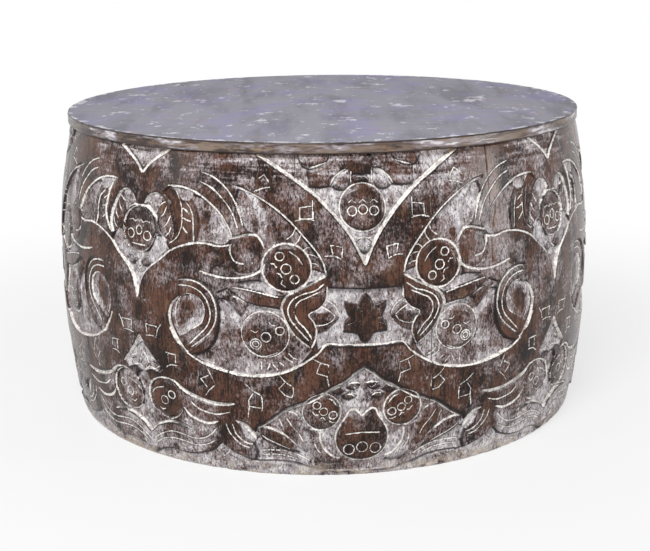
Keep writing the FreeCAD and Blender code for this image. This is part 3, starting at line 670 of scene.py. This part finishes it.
def carved_face(number):
    """The depth of the carving over a stave's face in mm, and what colours it there."""
    start = math.radians(first_seam_angle + (number - 1) * stave_pitch + 90)
    around = (start * belly_radius + glue_line / 2 + stave_columns)[None, :] + 0 * outer_heights[:, None]
    height = outer_heights[:, None] + 0 * around
    along, up = hand_wander(around, height)
    unfolded = (around + along - front - front_shift + half_panel) % (2 * half_panel)
    across = np.abs(unfolded - half_panel)
    drawn_height = np.clip(height + up * np.clip(height / 40, 0, 1), 0, body_height)
    values = {name: look_up(sheet, across, drawn_height) for name, sheet in colour_sheets.items()}
    # The scraper, the gouge and the open grain all leave their own small marks
    in_ground = np.clip(look_up(relief, across, drawn_height) / 2.5, 0, 1)
    scraped = mottle(around, height, 70, 150, 11) * 0.5 + mottle(around, height, 19, 60, 12) * 0.3
    gouged = mottle(around, height, 5, 8, 13) * in_ground * 0.9
    grain = mottle(around, height, 2.4, 45, 14) * 0.06 + mottle(around, height, 6, 90, 15) * 0.06
    depth = look_up(cut, across, drawn_height) + scraped + gouged + grain
    # A drying crack runs up the grain here and there
    chance = np.random.default_rng(100 + number)
    for _ in range(chance.integers(2, 5)):
        middle = chance.uniform(12, stave_width - 12)
        low = chance.choice([0.0, chance.uniform(20, 420)])
        length = chance.uniform(14, 70)
        line = middle + 1.4 * (mottle(around * 0, height, 9, 13, chance.integers(1000)) - 0.5)
        off_line = np.abs(stave_columns[None, :] - line)
        share = np.clip((height - low + 2) / 6, 0, 1) * np.clip((low + length - height) / 12, 0, 1)
        crack = np.clip(1 - off_line / 0.9, 0, 1) * share
        depth = depth + crack * 1.5
        values["filler"] = values["filler"] * (1 - crack)
        values["splits_and_cut_shade"] = values["splits_and_cut_shade"] + crack
    # The seam has opened a little in places, and the foot is chipped
    for off_seam, seam in ((stave_columns, number), (stave_width - stave_columns, number % stave_count + 1)):
        opened = np.clip(mottle(height * 0 + seam * 97.0, height, 40, 55, 16) * 2.6 - 1.3, 0, 1)
        near = np.clip(1 - off_seam[None, :] / 1.3, 0, 1)
        depth = depth + near * (0.15 + 0.9 * opened)
        values["splits_and_cut_shade"] = values["splits_and_cut_shade"] + near * (0.1 + 0.9 * opened)
        values["filler"] = values["filler"] * (1 - near * (0.2 + 0.8 * opened))
    chips = np.clip(mottle(around, height, 11, 6, 17) * 2.4 - 1.5, 0, 1)
    depth = depth + chips * np.clip(1 - height / 7, 0, 1) * 2.2
    # The wash is a little paler on some staves, to the sides and towards the foot
    plank = np.random.default_rng(300 + number).uniform(-0.09, 0.09)
    side_haze = 0.07 * np.sin(around / belly_radius) - 0.04 * np.cos(2 * around / belly_radius)
    values["wash"] = values["wash"] + plank + side_haze + 0.18 * soft_step(130, 20, height)
    values["foot"] = np.clip(1 - height / 26, 0, 1)
    return depth, values


def make_stave(number):
    """One stave: its carved face, its plain back with the seats for the rings, and its ends."""
    depth, values = carved_face(number)
    back = np.array(back_line)
    heights = np.concatenate([outer_heights, back[:, 0]])
    radius = uncut_radius(outer_heights)[:, None] - depth
    outline = np.concatenate([radius, back[:, 1][:, None] + 0 * radius[: len(back)]])
    start = math.radians(first_seam_angle + (number - 1) * stave_pitch)
    angle = start + (stave_columns + glue_line / 2) / belly_radius
    tiers, columns = outline.shape
    places = np.empty((tiers, columns, 3))
    places[:, :, 0] = outline * np.cos(angle) * mm
    places[:, :, 1] = outline * np.sin(angle) * mm
    places[:, :, 2] = heights[:, None] * mm
    index = np.arange(tiers * columns).reshape(tiers, columns)
    above = np.roll(index, -1, axis=0)
    quads = np.stack([index[:, :-1], index[:, 1:], above[:, 1:], above[:, :-1]], -1).reshape(-1, 4)
    caps = np.concatenate([index[::-1, 0], index[:, -1]])
    mesh = bpy.data.meshes.new(f"stave_{number:02d}_carved")
    mesh.vertices.add(tiers * columns)
    mesh.vertices.foreach_set("co", places.ravel())
    mesh.loops.add(quads.size + caps.size)
    mesh.loops.foreach_set("vertex_index", np.concatenate([quads.ravel(), caps]))
    starts = np.concatenate([np.arange(0, quads.size, 4), [quads.size, quads.size + tiers]])
    mesh.polygons.add(len(starts))
    mesh.polygons.foreach_set("loop_start", starts)
    # The carved face takes the dark stain, and the back and the two edges stay bare
    bare = np.concatenate([np.repeat(np.arange(tiers), columns - 1) >= outer_count - 1, [True, True]])
    mesh.polygons.foreach_set("material_index", bare.astype(np.int32))
    mesh.update(calc_edges=True)
    mesh.attributes.new("sharp_face", "BOOLEAN", "FACE").data.foreach_set("value", bare)
    for name, value in values.items():
        full = np.concatenate([value, 0 * outline[outer_count:]])
        mesh.attributes.new(name, "FLOAT", "POINT").data.foreach_set("value", full.ravel())
    lay_out(mesh, quads, heights, outline)
    return mesh


def lay_out(mesh, quads, heights, outline):
    """The stave's flat map: its face in two strips side by side, then its back and its edges."""
    columns = outline.shape[1]
    row, column = quads // columns, quads % columns
    share = column / (columns - 1)
    rise = heights / body_height
    upper = heights[row[:, :1]] >= body_height / 2
    outer = (row[:, :1] < outer_count - 1) & (row[:, 2:3] < outer_count) & (row[:, 2:3] > 0)
    # The level ends and the steps of the seats get their width from their depth
    sunk = (belly_radius - outline) / 60
    u = np.where(outer, np.where(upper, 0.404, 0.004) + share * 0.392, 0.82 + share * 0.08)
    v = np.where(outer, rise[row] * 2 - upper, rise[row] * 0.94 + sunk[:, 0][row] * 0.05)
    flat = np.stack([u, 0.004 + v * 0.98], -1).reshape(-1, 2)
    first = np.stack([sunk[:, 0], rise], -1)[::-1] * (0.035, 0.98) + (0.912, 0.004)
    second = np.stack([sunk[:, -1], rise], -1) * (0.035, 0.98) + (0.955, 0.004)
    layer = mesh.uv_layers.new(name="OFBake")
    layer.data.foreach_set("uv", np.concatenate([flat, first, second]).ravel())


def stain(*colour):
    """A colour written as it looks, from 0 to 255, turned into what a shader works with."""
    linear = []
    for part in colour:
        part = part / 255
        linear.append(part / 12.92 if part <= 0.04045 else ((part + 0.055) / 1.055) ** 2.4)
    return (*linear, 1.0)


class Nodes:
    """A node tree, with short names for the nodes that it is mixed from."""

    def __init__(self, owner):
        owner.use_nodes = True
        self.owner = owner
        self.tree = owner.node_tree

    def add(self, kind, **settings):
        node = self.tree.nodes.new(kind)
        for name, value in settings.items():
            setattr(node, name, value)
        return node

    def feed(self, socket, value):
        if isinstance(value, bpy.types.NodeSocket):
            self.tree.links.new(value, socket)
        else:
            socket.default_value = value

    def feed_all(self, node, *values):
        """Feeds a node's first inputs in their order, and gives its outputs."""
        for socket, value in zip(node.inputs, values):
            self.feed(socket, value)
        return node.outputs

    def sum(self, operation, *values):
        return self.feed_all(self.add("ShaderNodeMath", operation=operation), *values)[0]

    def span(self, value, low, high, to_low=0.0, to_high=1.0):
        """The value's way from low to high, eased at both ends."""
        node = self.add("ShaderNodeMapRange", interpolation_type="SMOOTHSTEP")
        return self.feed_all(node, value, low, high, to_low, to_high)[0]

    def length(self, vector):
        return self.feed_all(self.add("ShaderNodeVectorMath", operation="LENGTH"), vector)["Value"]


class Finish(Nodes):
    """One finish of the table, laid on in coats."""

    def __init__(self, name):
        super().__init__(bpy.data.materials.new(name))
        self.shader = self.tree.nodes["Principled BSDF"]
        self.place = self.add("ShaderNodeTexCoord").outputs["Object"]

    def axes(self):
        return self.feed_all(self.add("ShaderNodeSeparateXYZ"), self.place)

    def stretched(self, x, y, z):
        """The place on the piece, x, y and z times as far out."""
        node = self.add("ShaderNodeVectorMath", operation="MULTIPLY")
        return self.feed_all(node, self.place, (x, y, z))[0]

    def cloud(self, x, y, z, detail=3.0, rough=0.6, bend=0.0):
        """Chance values in patches of about x, y and z mm, two thirds of them within 1 of zero."""
        node = self.add("ShaderNodeTexNoise")
        self.feed(node.inputs["Vector"], self.stretched(1000 / x, 1000 / y, 1000 / z))
        settings = {"Scale": 1.0, "Detail": detail, "Roughness": rough, "Distortion": bend}
        for name, value in settings.items():
            node.inputs[name].default_value = value
        return self.sum("MULTIPLY_ADD", node.outputs["Fac"], 15.0, -7.5)

    def mixed(self, *shares):
        """The sum of values, each given with its weight."""
        total = self.sum("MULTIPLY", *shares[0])
        for value, weight in shares[1:]:
            total = self.sum("MULTIPLY_ADD", value, weight, total)
        return total

    def over(self, share, under, upper):
        """The upper colour laid over the under one in a share from 0 to 1."""
        node = self.add("ShaderNodeMix", data_type="RGBA")
        for place, value in ((0, share), (6, under), (7, upper)):
            self.feed(node.inputs[place], value)
        return node.outputs[2]

    def first_coat(self, share, dark, light):
        self.colour = self.over(share, stain(*dark), stain(*light))

    def coat(self, share, *colour):
        """Lays a colour over the coats below, in a share from 0 to 1."""
        self.colour = self.over(share, self.colour, stain(*colour))

    def carved(self, name):
        return self.add("ShaderNodeAttribute", attribute_name=name).outputs["Fac"]

    def finish(self, roughness, bump, height, gloss=0.3):
        """Closes the finish. The bump is in mm."""
        node = self.add("ShaderNodeBump")
        node.inputs["Strength"].default_value = 1.0
        node.inputs["Distance"].default_value = bump * mm
        self.feed(node.inputs["Height"], height)
        settings = {"Specular IOR Level": gloss, "Base Color": self.colour, "Roughness": roughness,
                    "Normal": node.outputs[0]}
        for name, value in settings.items():
            self.feed(self.shader.inputs[name], value)
        return self.owner


def carved_wood_finish():
    f = Finish("carved wood, stained and washed")
    blotches = f.cloud(30, 30, 46, 5, 0.62)
    smears = f.cloud(9, 9, 12, 3, 0.7)
    streaks = f.cloud(1.7, 1.7, 48, 3, 0.6)
    fine = f.cloud(2.6, 2.6, 6, 3, 0.7)
    specks = f.cloud(3.4, 3.4, 4.5, 3, 0.8)
    pits = f.cloud(2.2, 2.2, 6, 3, 0.8)
    # The stain, from near black to a red brown, with ochre where it is rubbed to the wood
    depth = f.mixed((f.cloud(34, 34, 60, 4), 0.6), (streaks, 0.4), (specks, 0.3))
    f.first_coat(f.span(depth, -1.1, 1.5), (25, 16, 13), (96, 64, 49))
    red = f.sum("MULTIPLY", f.span(f.cloud(30, 30, 60), 0.0, 1.4), f.span(fine, -1.0, 0.8))
    f.coat(f.sum("MULTIPLY", red, 0.55), 100, 60, 44)
    f.coat(f.span(f.cloud(26, 26, 70, 4, 0.6), 1.4, 2.8, 0, 0.45), 134, 104, 80)
    # The thin wash lies as a haze over it, and thicker where the carver's rag skipped
    brushed = f.sum("MULTIPLY", f.cloud(75, 75, 8, 4, 0.6, 0.4), f.span(f.axes()[2], 0.425, 0.455))
    islands = f.span(f.cloud(22, 22, 30, 5, 0.66), 0.5, 2.1)
    # A painted highlight: the wash is laid paler on the ledges that face up
    painted_ledge_light = f.carved("painted_ledge_light")
    amount = f.mixed((f.cloud(90, 90, 120), 0.17), (f.cloud(50, 50, 17, 4, 0.6, 0.6), 0.07), (blotches, 0.1),
                     (brushed, 0.17), (islands, -0.5), (painted_ledge_light, 0.25), (f.carved("wash"), 1.0))
    haze_colour = f.over(f.span(fine, -1.5, 1.5), stain(142, 127, 125), stain(168, 156, 158))
    haze = f.span(f.mixed((amount, 1.0), (fine, 0.09), (specks, 0.06)), 0.06, 0.8, 0, 0.82)
    f.colour = f.over(haze, f.colour, haze_colour)
    thick = f.span(f.mixed((amount, 4.5), (streaks, 0.25), (specks, 0.6)), 3.1, 4.2, 0, 0.92)
    milk = f.over(f.span(smears, -1.2, 1.2), stain(172, 165, 168), stain(226, 221, 222))
    f.colour = f.over(thick, f.colour, milk)
    # Painted shade darkens the raised edges, the wood beside the lines, the unfilled cuts and the wood under
    # ledges that face down; dark stain shows in the pores, the cracks and the open seams
    dark = f.mixed((f.span(f.carved("painted_edge_shade"), 0.1, 1.0), 0.8), (f.carved("painted_line_shade"), 0.7),
                   (f.span(f.mixed((pits, 1.0), (fine, -0.4)), 0.7, 1.5), 0.8),
                   (f.span(f.carved("splits_and_cut_shade"), 0.3, 0.9), 1.0), (f.span(painted_ledge_light, -0.1, -0.8), 0.7))
    f.coat(f.sum("MINIMUM", dark, 0.9), 29, 21, 20)
    # Filler stands in the cuts, and the foot is rubbed pale
    filler = f.span(f.mixed((specks, 0.1), (blotches, 0.09), (f.carved("filler"), 1.0)), 0.36, 0.62)
    chalky = f.span(f.mixed((specks, 0.7), (smears, 0.7)), -1.5, 0.8)
    f.colour = f.over(filler, f.colour, f.over(chalky, stain(186, 178, 174), stain(248, 243, 237)))
    pale_foot = f.sum("MULTIPLY", f.carved("foot"), f.span(f.cloud(30, 30, 14), -0.6, 1.2))
    f.coat(f.sum("MULTIPLY", pale_foot, 0.6), 196, 182, 162)
    rough = f.mixed((f.sum("MAXIMUM", filler, thick), 0.25), (haze, 0.18), (fine, 0.02), (0.17, 1.0))
    return f.finish(rough, 0.15, f.mixed((thick, 0.5), (fine, 0.07), (pits, -0.06)), gloss=0.22)


def bare_wood(name, grain_size, dark, light, rough, bump=0.2, patches=None, ridges=0.0):
    """Unstained wood, its grain between two browns, with darker patches or kerfs over it."""
    f = Finish(name)
    grain = f.cloud(*grain_size)
    height = None if ridges else f.span(grain, -3, 3)
    f.first_coat(f.span(grain, -2, 2), dark, light)
    if patches:
        patch_size, low, high, most, colour = patches
        patch = f.cloud(*patch_size)
        f.coat(f.span(patch, low, high, 0, most), *colour)
        if ridges:
            height = f.mixed((grain, ridges), (patch, ridges))
    return f.finish(f.span(grain, -2, 2, *rough), bump, height)


carved_wood = carved_wood_finish()
bare_stave = bare_wood("stave back, planed and bare", (2.2, 2.2, 90), (150, 112, 78), (190, 150, 108),
                       (0.6, 0.75), patches=((40, 40, 160), -1, 2.5, 0.6, (124, 90, 64)))
for number in range(1, stave_count + 1):
    stave = bpy.data.objects.new(f"carved_stave_{number:02d}", make_stave(number))
    bpy.context.collection.objects.link(stave)
    stave.data.materials.append(carved_wood)
    stave.data.materials.append(bare_stave)
    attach(stave, "root")
    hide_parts(f"stave_{number:02d}")

# The top
# Seven boards planed flat, tongued edge to edge and sawn to one round disc that lies flush on
# the body. It took a thicker lavender-grey wash, which is worn off its sharp edge and its rim.
top_radius = 432.5
top_thickness = 17.0
board_count = 7
board_width = 2 * top_radius / board_count
# The rim from the underside up: how far it is set in, and its height above the body
rim_steps = [(1.5, 0.0), (0.5, 0.8), (0.05, 1.7), (0.1, 4.5), (0.2, 8.0), (0.15, 11.5), (0.0, 14.6),
             (0.15, 15.6), (0.6, 16.4), (1.5, top_thickness)]


def board_outline(low, high):
    """The board's outline in mm, whether each point is on the round rim, and its way inwards."""
    ends = [math.asin(y / top_radius) for y in (low, high)]
    arc = np.linspace(*ends, max(6, int((ends[1] - ends[0]) * top_radius / 2.5)))
    right = np.stack([top_radius * np.cos(arc), top_radius * np.sin(arc)], 1)
    left = right[::-1] * (-1, 1)
    far = np.linspace(right[-1, 0], left[0, 0], max(3, int(right[-1, 0] / 6)))[1:-1]
    near = np.linspace(left[-1, 0], right[0, 0], max(3, int(right[0, 0] / 6)))[1:-1]
    pieces = [(right, True)]
    # The first and the last board close on the round edge, the others on a seam
    if high >= top_radius:
        left = left[1:]
    else:
        pieces.append((np.stack([far, 0 * far + high], 1), False))
    if low <= -top_radius:
        pieces.append((left[:-1], True))
    else:
        pieces += [(left, True), (np.stack([near, 0 * near + low], 1), False)]
    places = np.concatenate([line for line, _ in pieces])
    round_edge = np.concatenate([np.full(len(line), is_round) for line, is_round in pieces])
    to_middle = np.sign((low + high) / 2 - places[:, 1]) * 0.15
    inwards = np.where(round_edge[:, None], -places / np.linalg.norm(places, axis=1)[:, None],
                       np.stack([0 * to_middle, to_middle], 1))
    return places, round_edge, inwards


def make_board(number):
    """One board of the top: a close grid of points over its face, and its rim or seam edges."""
    low = (number - 1) * board_width - top_radius
    high = low + board_width
    low += glue_line / 2 if number > 1 else 0
    high -= glue_line / 2 if number < board_count else 0
    places, round_edge, inwards = board_outline(low, high)
    turn = np.arctan2(places[:, 1], places[:, 0]) * belly_radius
    wear = np.clip(mottle(turn, 0 * turn, 16, 8, 31) * 2.2 - 1.2, 0, 1) * round_edge
    wave = mottle(turn, 0 * turn, 90, 8, 32) * 0.25 * round_edge
    tiers = []
    spots = []
    for inset, height in rim_steps:
        nearness = max(0.0, (height - 9) / 8)
        tiers.append(places + inwards * (inset + wave + wear * 0.8 * nearness)[:, None])
        spots += [(x, y, body_height + height) for x, y in tiers[-1]]
    chance = np.random.default_rng(40 + number)
    grid_x, grid_y = np.meshgrid(np.arange(-top_radius, top_radius, 7.0), np.arange(low + 4, high - 3, 6.5))
    inside = np.stack([grid_x.ravel(), grid_y.ravel()], 1) + chance.uniform(-1.5, 1.5, (grid_x.size, 2))
    inside = inside[np.hypot(inside[:, 0], inside[:, 1]) < top_radius - 6]
    # The plane left shallow hollows in the face
    dips = np.random.default_rng(60 + number)
    hollows = dips.uniform((-400, low, 8, 0.05), (400, high, 30, 0.25), (26, 4))
    for x, y in inside:
        away = np.hypot(hollows[:, 0] - x, hollows[:, 1] - y) / hollows[:, 2]
        dip = float((np.exp(-away * away) * hollows[:, 3]).sum())
        spots.append((x, y, body_height + top_thickness - min(dip, 0.5)))
    count = len(places)
    around = [(i, (i + 1) % count) for i in range(count)]
    top_start = (len(tiers) - 1) * count
    polygons = []
    kinds = []
    for edge, extra, upside in ((tiers[-1], inside, True), (tiers[0], inside[:0], False)):
        sheet = [Vector(p) for p in np.concatenate([edge, extra])]
        _, _, flats, originals, _, _ = delaunay_2d_cdt(sheet, around, [], 1, 1e-7)
        for flat in flats:
            corners = [originals[i][0] for i in flat]
            polygons.append([top_start + c for c in corners] if upside else corners[::-1])
            kinds.append(0 if upside else 2)
    for base in range(0, top_start, count):
        for i, j in around:
            polygons.append((base + i, base + j, base + count + j, base + count + i))
            kinds.append(1 if round_edge[i] and round_edge[j] else 2)
    mesh = bpy.data.meshes.new(f"top_board_{number}_washed")
    mesh.from_pydata([(x * mm, y * mm, z * mm) for x, y, z in spots], [], polygons)
    mesh.polygons.foreach_set("material_index", kinds)
    mesh.update()
    mesh.set_sharp_from_angle(angle=math.radians(35))
    return mesh


def washed_top_finish():
    f = Finish("top face, washed")
    grain = f.cloud(120, 3.5, 9, 3, 0.6, 0.3)
    brushed = f.cloud(56, 240, 20, 4, 0.6, 0.3)
    specks = f.cloud(5, 6, 3, 3, 0.7)
    f.first_coat(f.span(f.cloud(90, 120, 20), 0.0, 1.6), (122, 121, 134), (120, 115, 148))
    f.coat(f.span(brushed, -0.6, 2.8, 0, 0.7), 90, 88, 97)
    f.coat(f.span(grain, 0.0, 2.4, 0, 0.4), 98, 94, 104)
    f.coat(f.span(f.cloud(60, 60, 20), 1.2, 3.0, 0, 0.4), 140, 114, 116)
    # The edge is rubbed pale in places, with a dark line at its very corner
    far_out = f.length(f.stretched(1000, 1000, 0))
    spots = f.mixed((f.cloud(60, 80, 20), 0.8), (f.cloud(24, 38, 8, 4, 0.6), 1.0), (specks, 0.15),
                    (grain, 0.15))
    worn = f.mixed((f.span(far_out, 412, 431), 1.9), (f.cloud(22, 22, 8, 4, 0.65), 0.8))
    white = f.sum("MAXIMUM", f.span(spots, 2.1, 3.6, 0, 0.8), f.span(worn, 1.6, 2.3, 0, 0.9))
    f.coat(f.span(f.mixed((far_out, 1.0), (specks, 0.3)), 429.2, 430.2, 0, 0.85), 44, 36, 36)
    f.coat(white, 210, 207, 216)
    rough = f.mixed((white, 0.12), (brushed, 0.02), (0.52, 1.0))
    return f.finish(rough, 0.15, f.mixed((grain, 0.08), (white, 0.6)), gloss=0.15)


def worn_rim_finish():
    f = Finish("top rim, worn through the wash")
    grain = f.cloud(38, 38, 1.8)
    x, _, z = f.axes()
    f.first_coat(f.span(f.cloud(70, 70, 9), -1.5, 1.5), (92, 77, 70), (134, 117, 104))
    f.coat(f.span(grain, -0.6, 2.4, 0, 0.45), 72, 59, 54)
    f.coat(f.span(f.cloud(26, 26, 9), 1.5, 2.6, 0, 0.4), 160, 122, 88)
    dark = f.mixed((f.cloud(46, 46, 11, 4), 1.1), (f.span(x, -0.1, -0.34), 1.3))
    f.coat(f.span(dark, 0.5, 1.9, 0, 0.85), 50, 40, 38)
    cover = f.mixed((f.cloud(60, 60, 13), 1.0), (f.cloud(12, 12, 3), 0.3), (grain, 0.15))
    f.coat(f.span(cover, 0.1, 1.9, 0, 0.8), 156, 148, 154)
    f.coat(f.span(cover, 1.7, 2.8, 0, 0.9), 218, 213, 214)
    # A dark line along its upper corner, and painted shade along its lower corner, where the top sits on the
    # body
    f.coat(f.sum("MAXIMUM", f.span(z, 0.4992, 0.5, 0, 0.9), f.span(z, 0.4866, 0.4878, 0.9, 0)), 44, 35, 34)
    return f.finish(f.span(grain, -3, 3, 0.22, 0.34), 0.1, f.span(grain, -3, 3))


bare_board = bare_wood("board underside, planed and bare", (90, 2.2, 4), (158, 120, 84), (196, 158, 116),
                       (0.6, 0.75))
board_finishes = [washed_top_finish(), worn_rim_finish(), bare_board]
for number in range(1, board_count + 1):
    board = bpy.data.objects.new(f"washed_board_{number}", make_board(number))
    bpy.context.collection.objects.link(board)
    for finish in board_finishes:
        board.data.materials.append(finish)
    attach(board, "root")
    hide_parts(f"top_board_{number}")


# The dowels and the tongues
# Turned beech dowels pin each seam between two staves, and thin flat tongues lie in the grooves
# between the boards. They are glued in and only show where a joint opens.
def dress(names, finish):
    """Gives carried-over pieces of the frame their finish."""
    for name in names:
        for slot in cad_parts[name].material_slots:
            slot.material = finish


dowel_wood = bare_wood("dowel wood, turned", (3, 3, 3, 4), (178, 140, 98), (208, 174, 130), (0.5, 0.65), 0.1)
dress(["stave_dowels", "top_board_tongues"], dowel_wood)

# The two rings
# Six half-lapped segments of plain wood make each ring, sawn to the curve and glued into the
# seats that are cut in the ends of the staves. They keep the barrel round and carry the top.
saw_kerfs = ((2.2, 2.2, 60), 0.8, 2.4, 0.3, (120, 88, 60))
ring_wood = bare_wood("ring wood, sawn", (40, 40, 1.8), (150, 112, 76), (188, 146, 102), (0.62, 0.78), 0.3,
                      patches=saw_kerfs, ridges=0.15)
for ring_name in ("upper", "lower"):
    dress([f"{ring_name}_ring_segment_{i}" for i in range(1, 7)], ring_wood)

# The crossed battens
# Two battens of the same wood are halved into each other under the boards, and their ends are
# stepped to bear up under the upper ring. They keep the boards flat.
knots = ((45, 45, 45, 2, 0.5, 1.5), 2.2, 3.2, 0.6, (104, 70, 46))
for half, way, grain_size in (("lower", "along", (110, 2.4, 2.4)), ("upper", "across", (2.4, 110, 2.4))):
    batten_wood = bare_wood(f"batten wood {way} the boards", (*grain_size, 3, 0.6, 0.4), (156, 118, 80),
                            (196, 156, 110), (0.58, 0.72), patches=knots)
    dress([f"cross_batten_{half}_half"], batten_wood)


# The screws
# Zinc plated countersunk screws go up through the ring and the battens into the boards, with
# their heads just below the surface.
def screw_finish():
    f = Finish("screws, zinc plated")
    dull = f.cloud(1.2, 1.2, 1.2)
    f.first_coat(f.span(dull, -1, 2.5), (196, 192, 180), (168, 160, 140))
    f.shader.inputs["Metallic"].default_value = 1.0
    return f.finish(f.span(dull, -2, 2, 0.28, 0.5), 0.03, f.span(dull, -3, 3))


dress(["ring_screws", "batten_end_screws", "batten_board_screws"], screw_finish())


# The floor, the light and the camera
# A plain pale floor and a white room, with soft lamps to both sides, and the camera where the
# photograph was taken from.
def white_to_the_eye(owner, shaders, colour, strength=None, shadow_near=False):
    """A colour of its own for the light, and white for what the camera sees straight or mirrored."""
    f = Nodes(owner)
    f.tree.nodes.clear()
    path = f.add("ShaderNodeLightPath").outputs
    seen = f.sum("MAXIMUM", path["Is Camera Ray"], path["Is Glossy Ray"])
    seen = f.sum("MAXIMUM", seen, path["Is Transmission Ray"])
    if shadow_near:
        # The floor is as white as the room at a distance, and near the table it keeps the shadow
        away = f.length(f.add("ShaderNodeTexCoord").outputs["Object"])
        seen = f.sum("MULTIPLY", seen, f.span(away, 0.45, 1.6, 0.72, 1.0))
    plain, white, both, output = [f.add(f"ShaderNode{kind}") for kind in shaders]
    plain.inputs["Color"].default_value = colour
    if strength:
        plain.inputs["Strength"].default_value = strength
    white.inputs["Color"].default_value = (1, 1, 1, 1)
    white.inputs["Strength"].default_value = 1.0
    f.feed_all(both, seen, plain.outputs[0], white.outputs[0])
    f.feed(output.inputs["Surface"], both.outputs[0])


paint = bpy.data.materials.new("pale floor")
white_to_the_eye(paint, ("BsdfDiffuse", "Emission", "MixShader", "OutputMaterial"), stain(236, 236, 236),
                 shadow_near=True)
floor_half = 12.0
floor_corners = [(-floor_half, -floor_half, 0), (floor_half, -floor_half, 0), (floor_half, floor_half, 0),
                 (-floor_half, floor_half, 0)]
floor_mesh = bpy.data.meshes.new("floor")
floor_mesh.from_pydata(floor_corners, [], [(0, 1, 2, 3)])
floor_mesh.materials.append(paint)
floor = bpy.data.objects.new("floor", floor_mesh)
bpy.context.collection.objects.link(floor)

scene = bpy.context.scene
scene.world = bpy.data.worlds.new("white room")
white_to_the_eye(scene.world, ("Background", "Background", "MixShader", "OutputWorld"), (0.96, 0.97, 1.0, 1),
                 strength=0.2)


def hang_lamp(name, place, wide, tall, power):
    """A soft box that faces the middle of the table."""
    lamp = bpy.data.lights.new(name, "AREA")
    lamp.shape = "RECTANGLE"
    lamp.size = wide
    lamp.size_y = tall
    lamp.energy = power
    box = bpy.data.objects.new(name, lamp)
    box.location = place
    box.rotation_euler = (Vector((0, 0, 0.25)) - Vector(place)).to_track_quat("-Z", "Y").to_euler()
    bpy.context.collection.objects.link(box)


hang_lamp("overhead_front_box", (-0.5, -2.1, 2.3), 1.1, 0.8, 64)
hang_lamp("front_left_box", (-2.6, -1.6, 1.1), 0.9, 1.6, 13)
hang_lamp("right_strip", (2.4, -0.99, 0.46), 0.13, 0.76, 18)
hang_lamp("back_box", (0, 2.4, 2.4), 2.0, 1.2, 20)

camera_data = bpy.data.cameras.new("camera")
camera_data.sensor_width = 36
camera_data.lens = 69.54
camera = bpy.data.objects.new("camera", camera_data)
camera.location = (0.0014, -2.172, 0.7864)
looks_down = math.radians(15.317)
leans_right = math.radians(-0.621)
view_line = Vector((0, math.cos(looks_down), -math.sin(looks_down)))
camera.rotation_mode = "QUATERNION"
camera.rotation_quaternion = view_line.to_track_quat("-Z", "Y") @ Quaternion((0, 0, 1), leans_right)
bpy.context.collection.objects.link(camera)
scene.camera = camera
scene.view_settings.view_transform = "Standard"
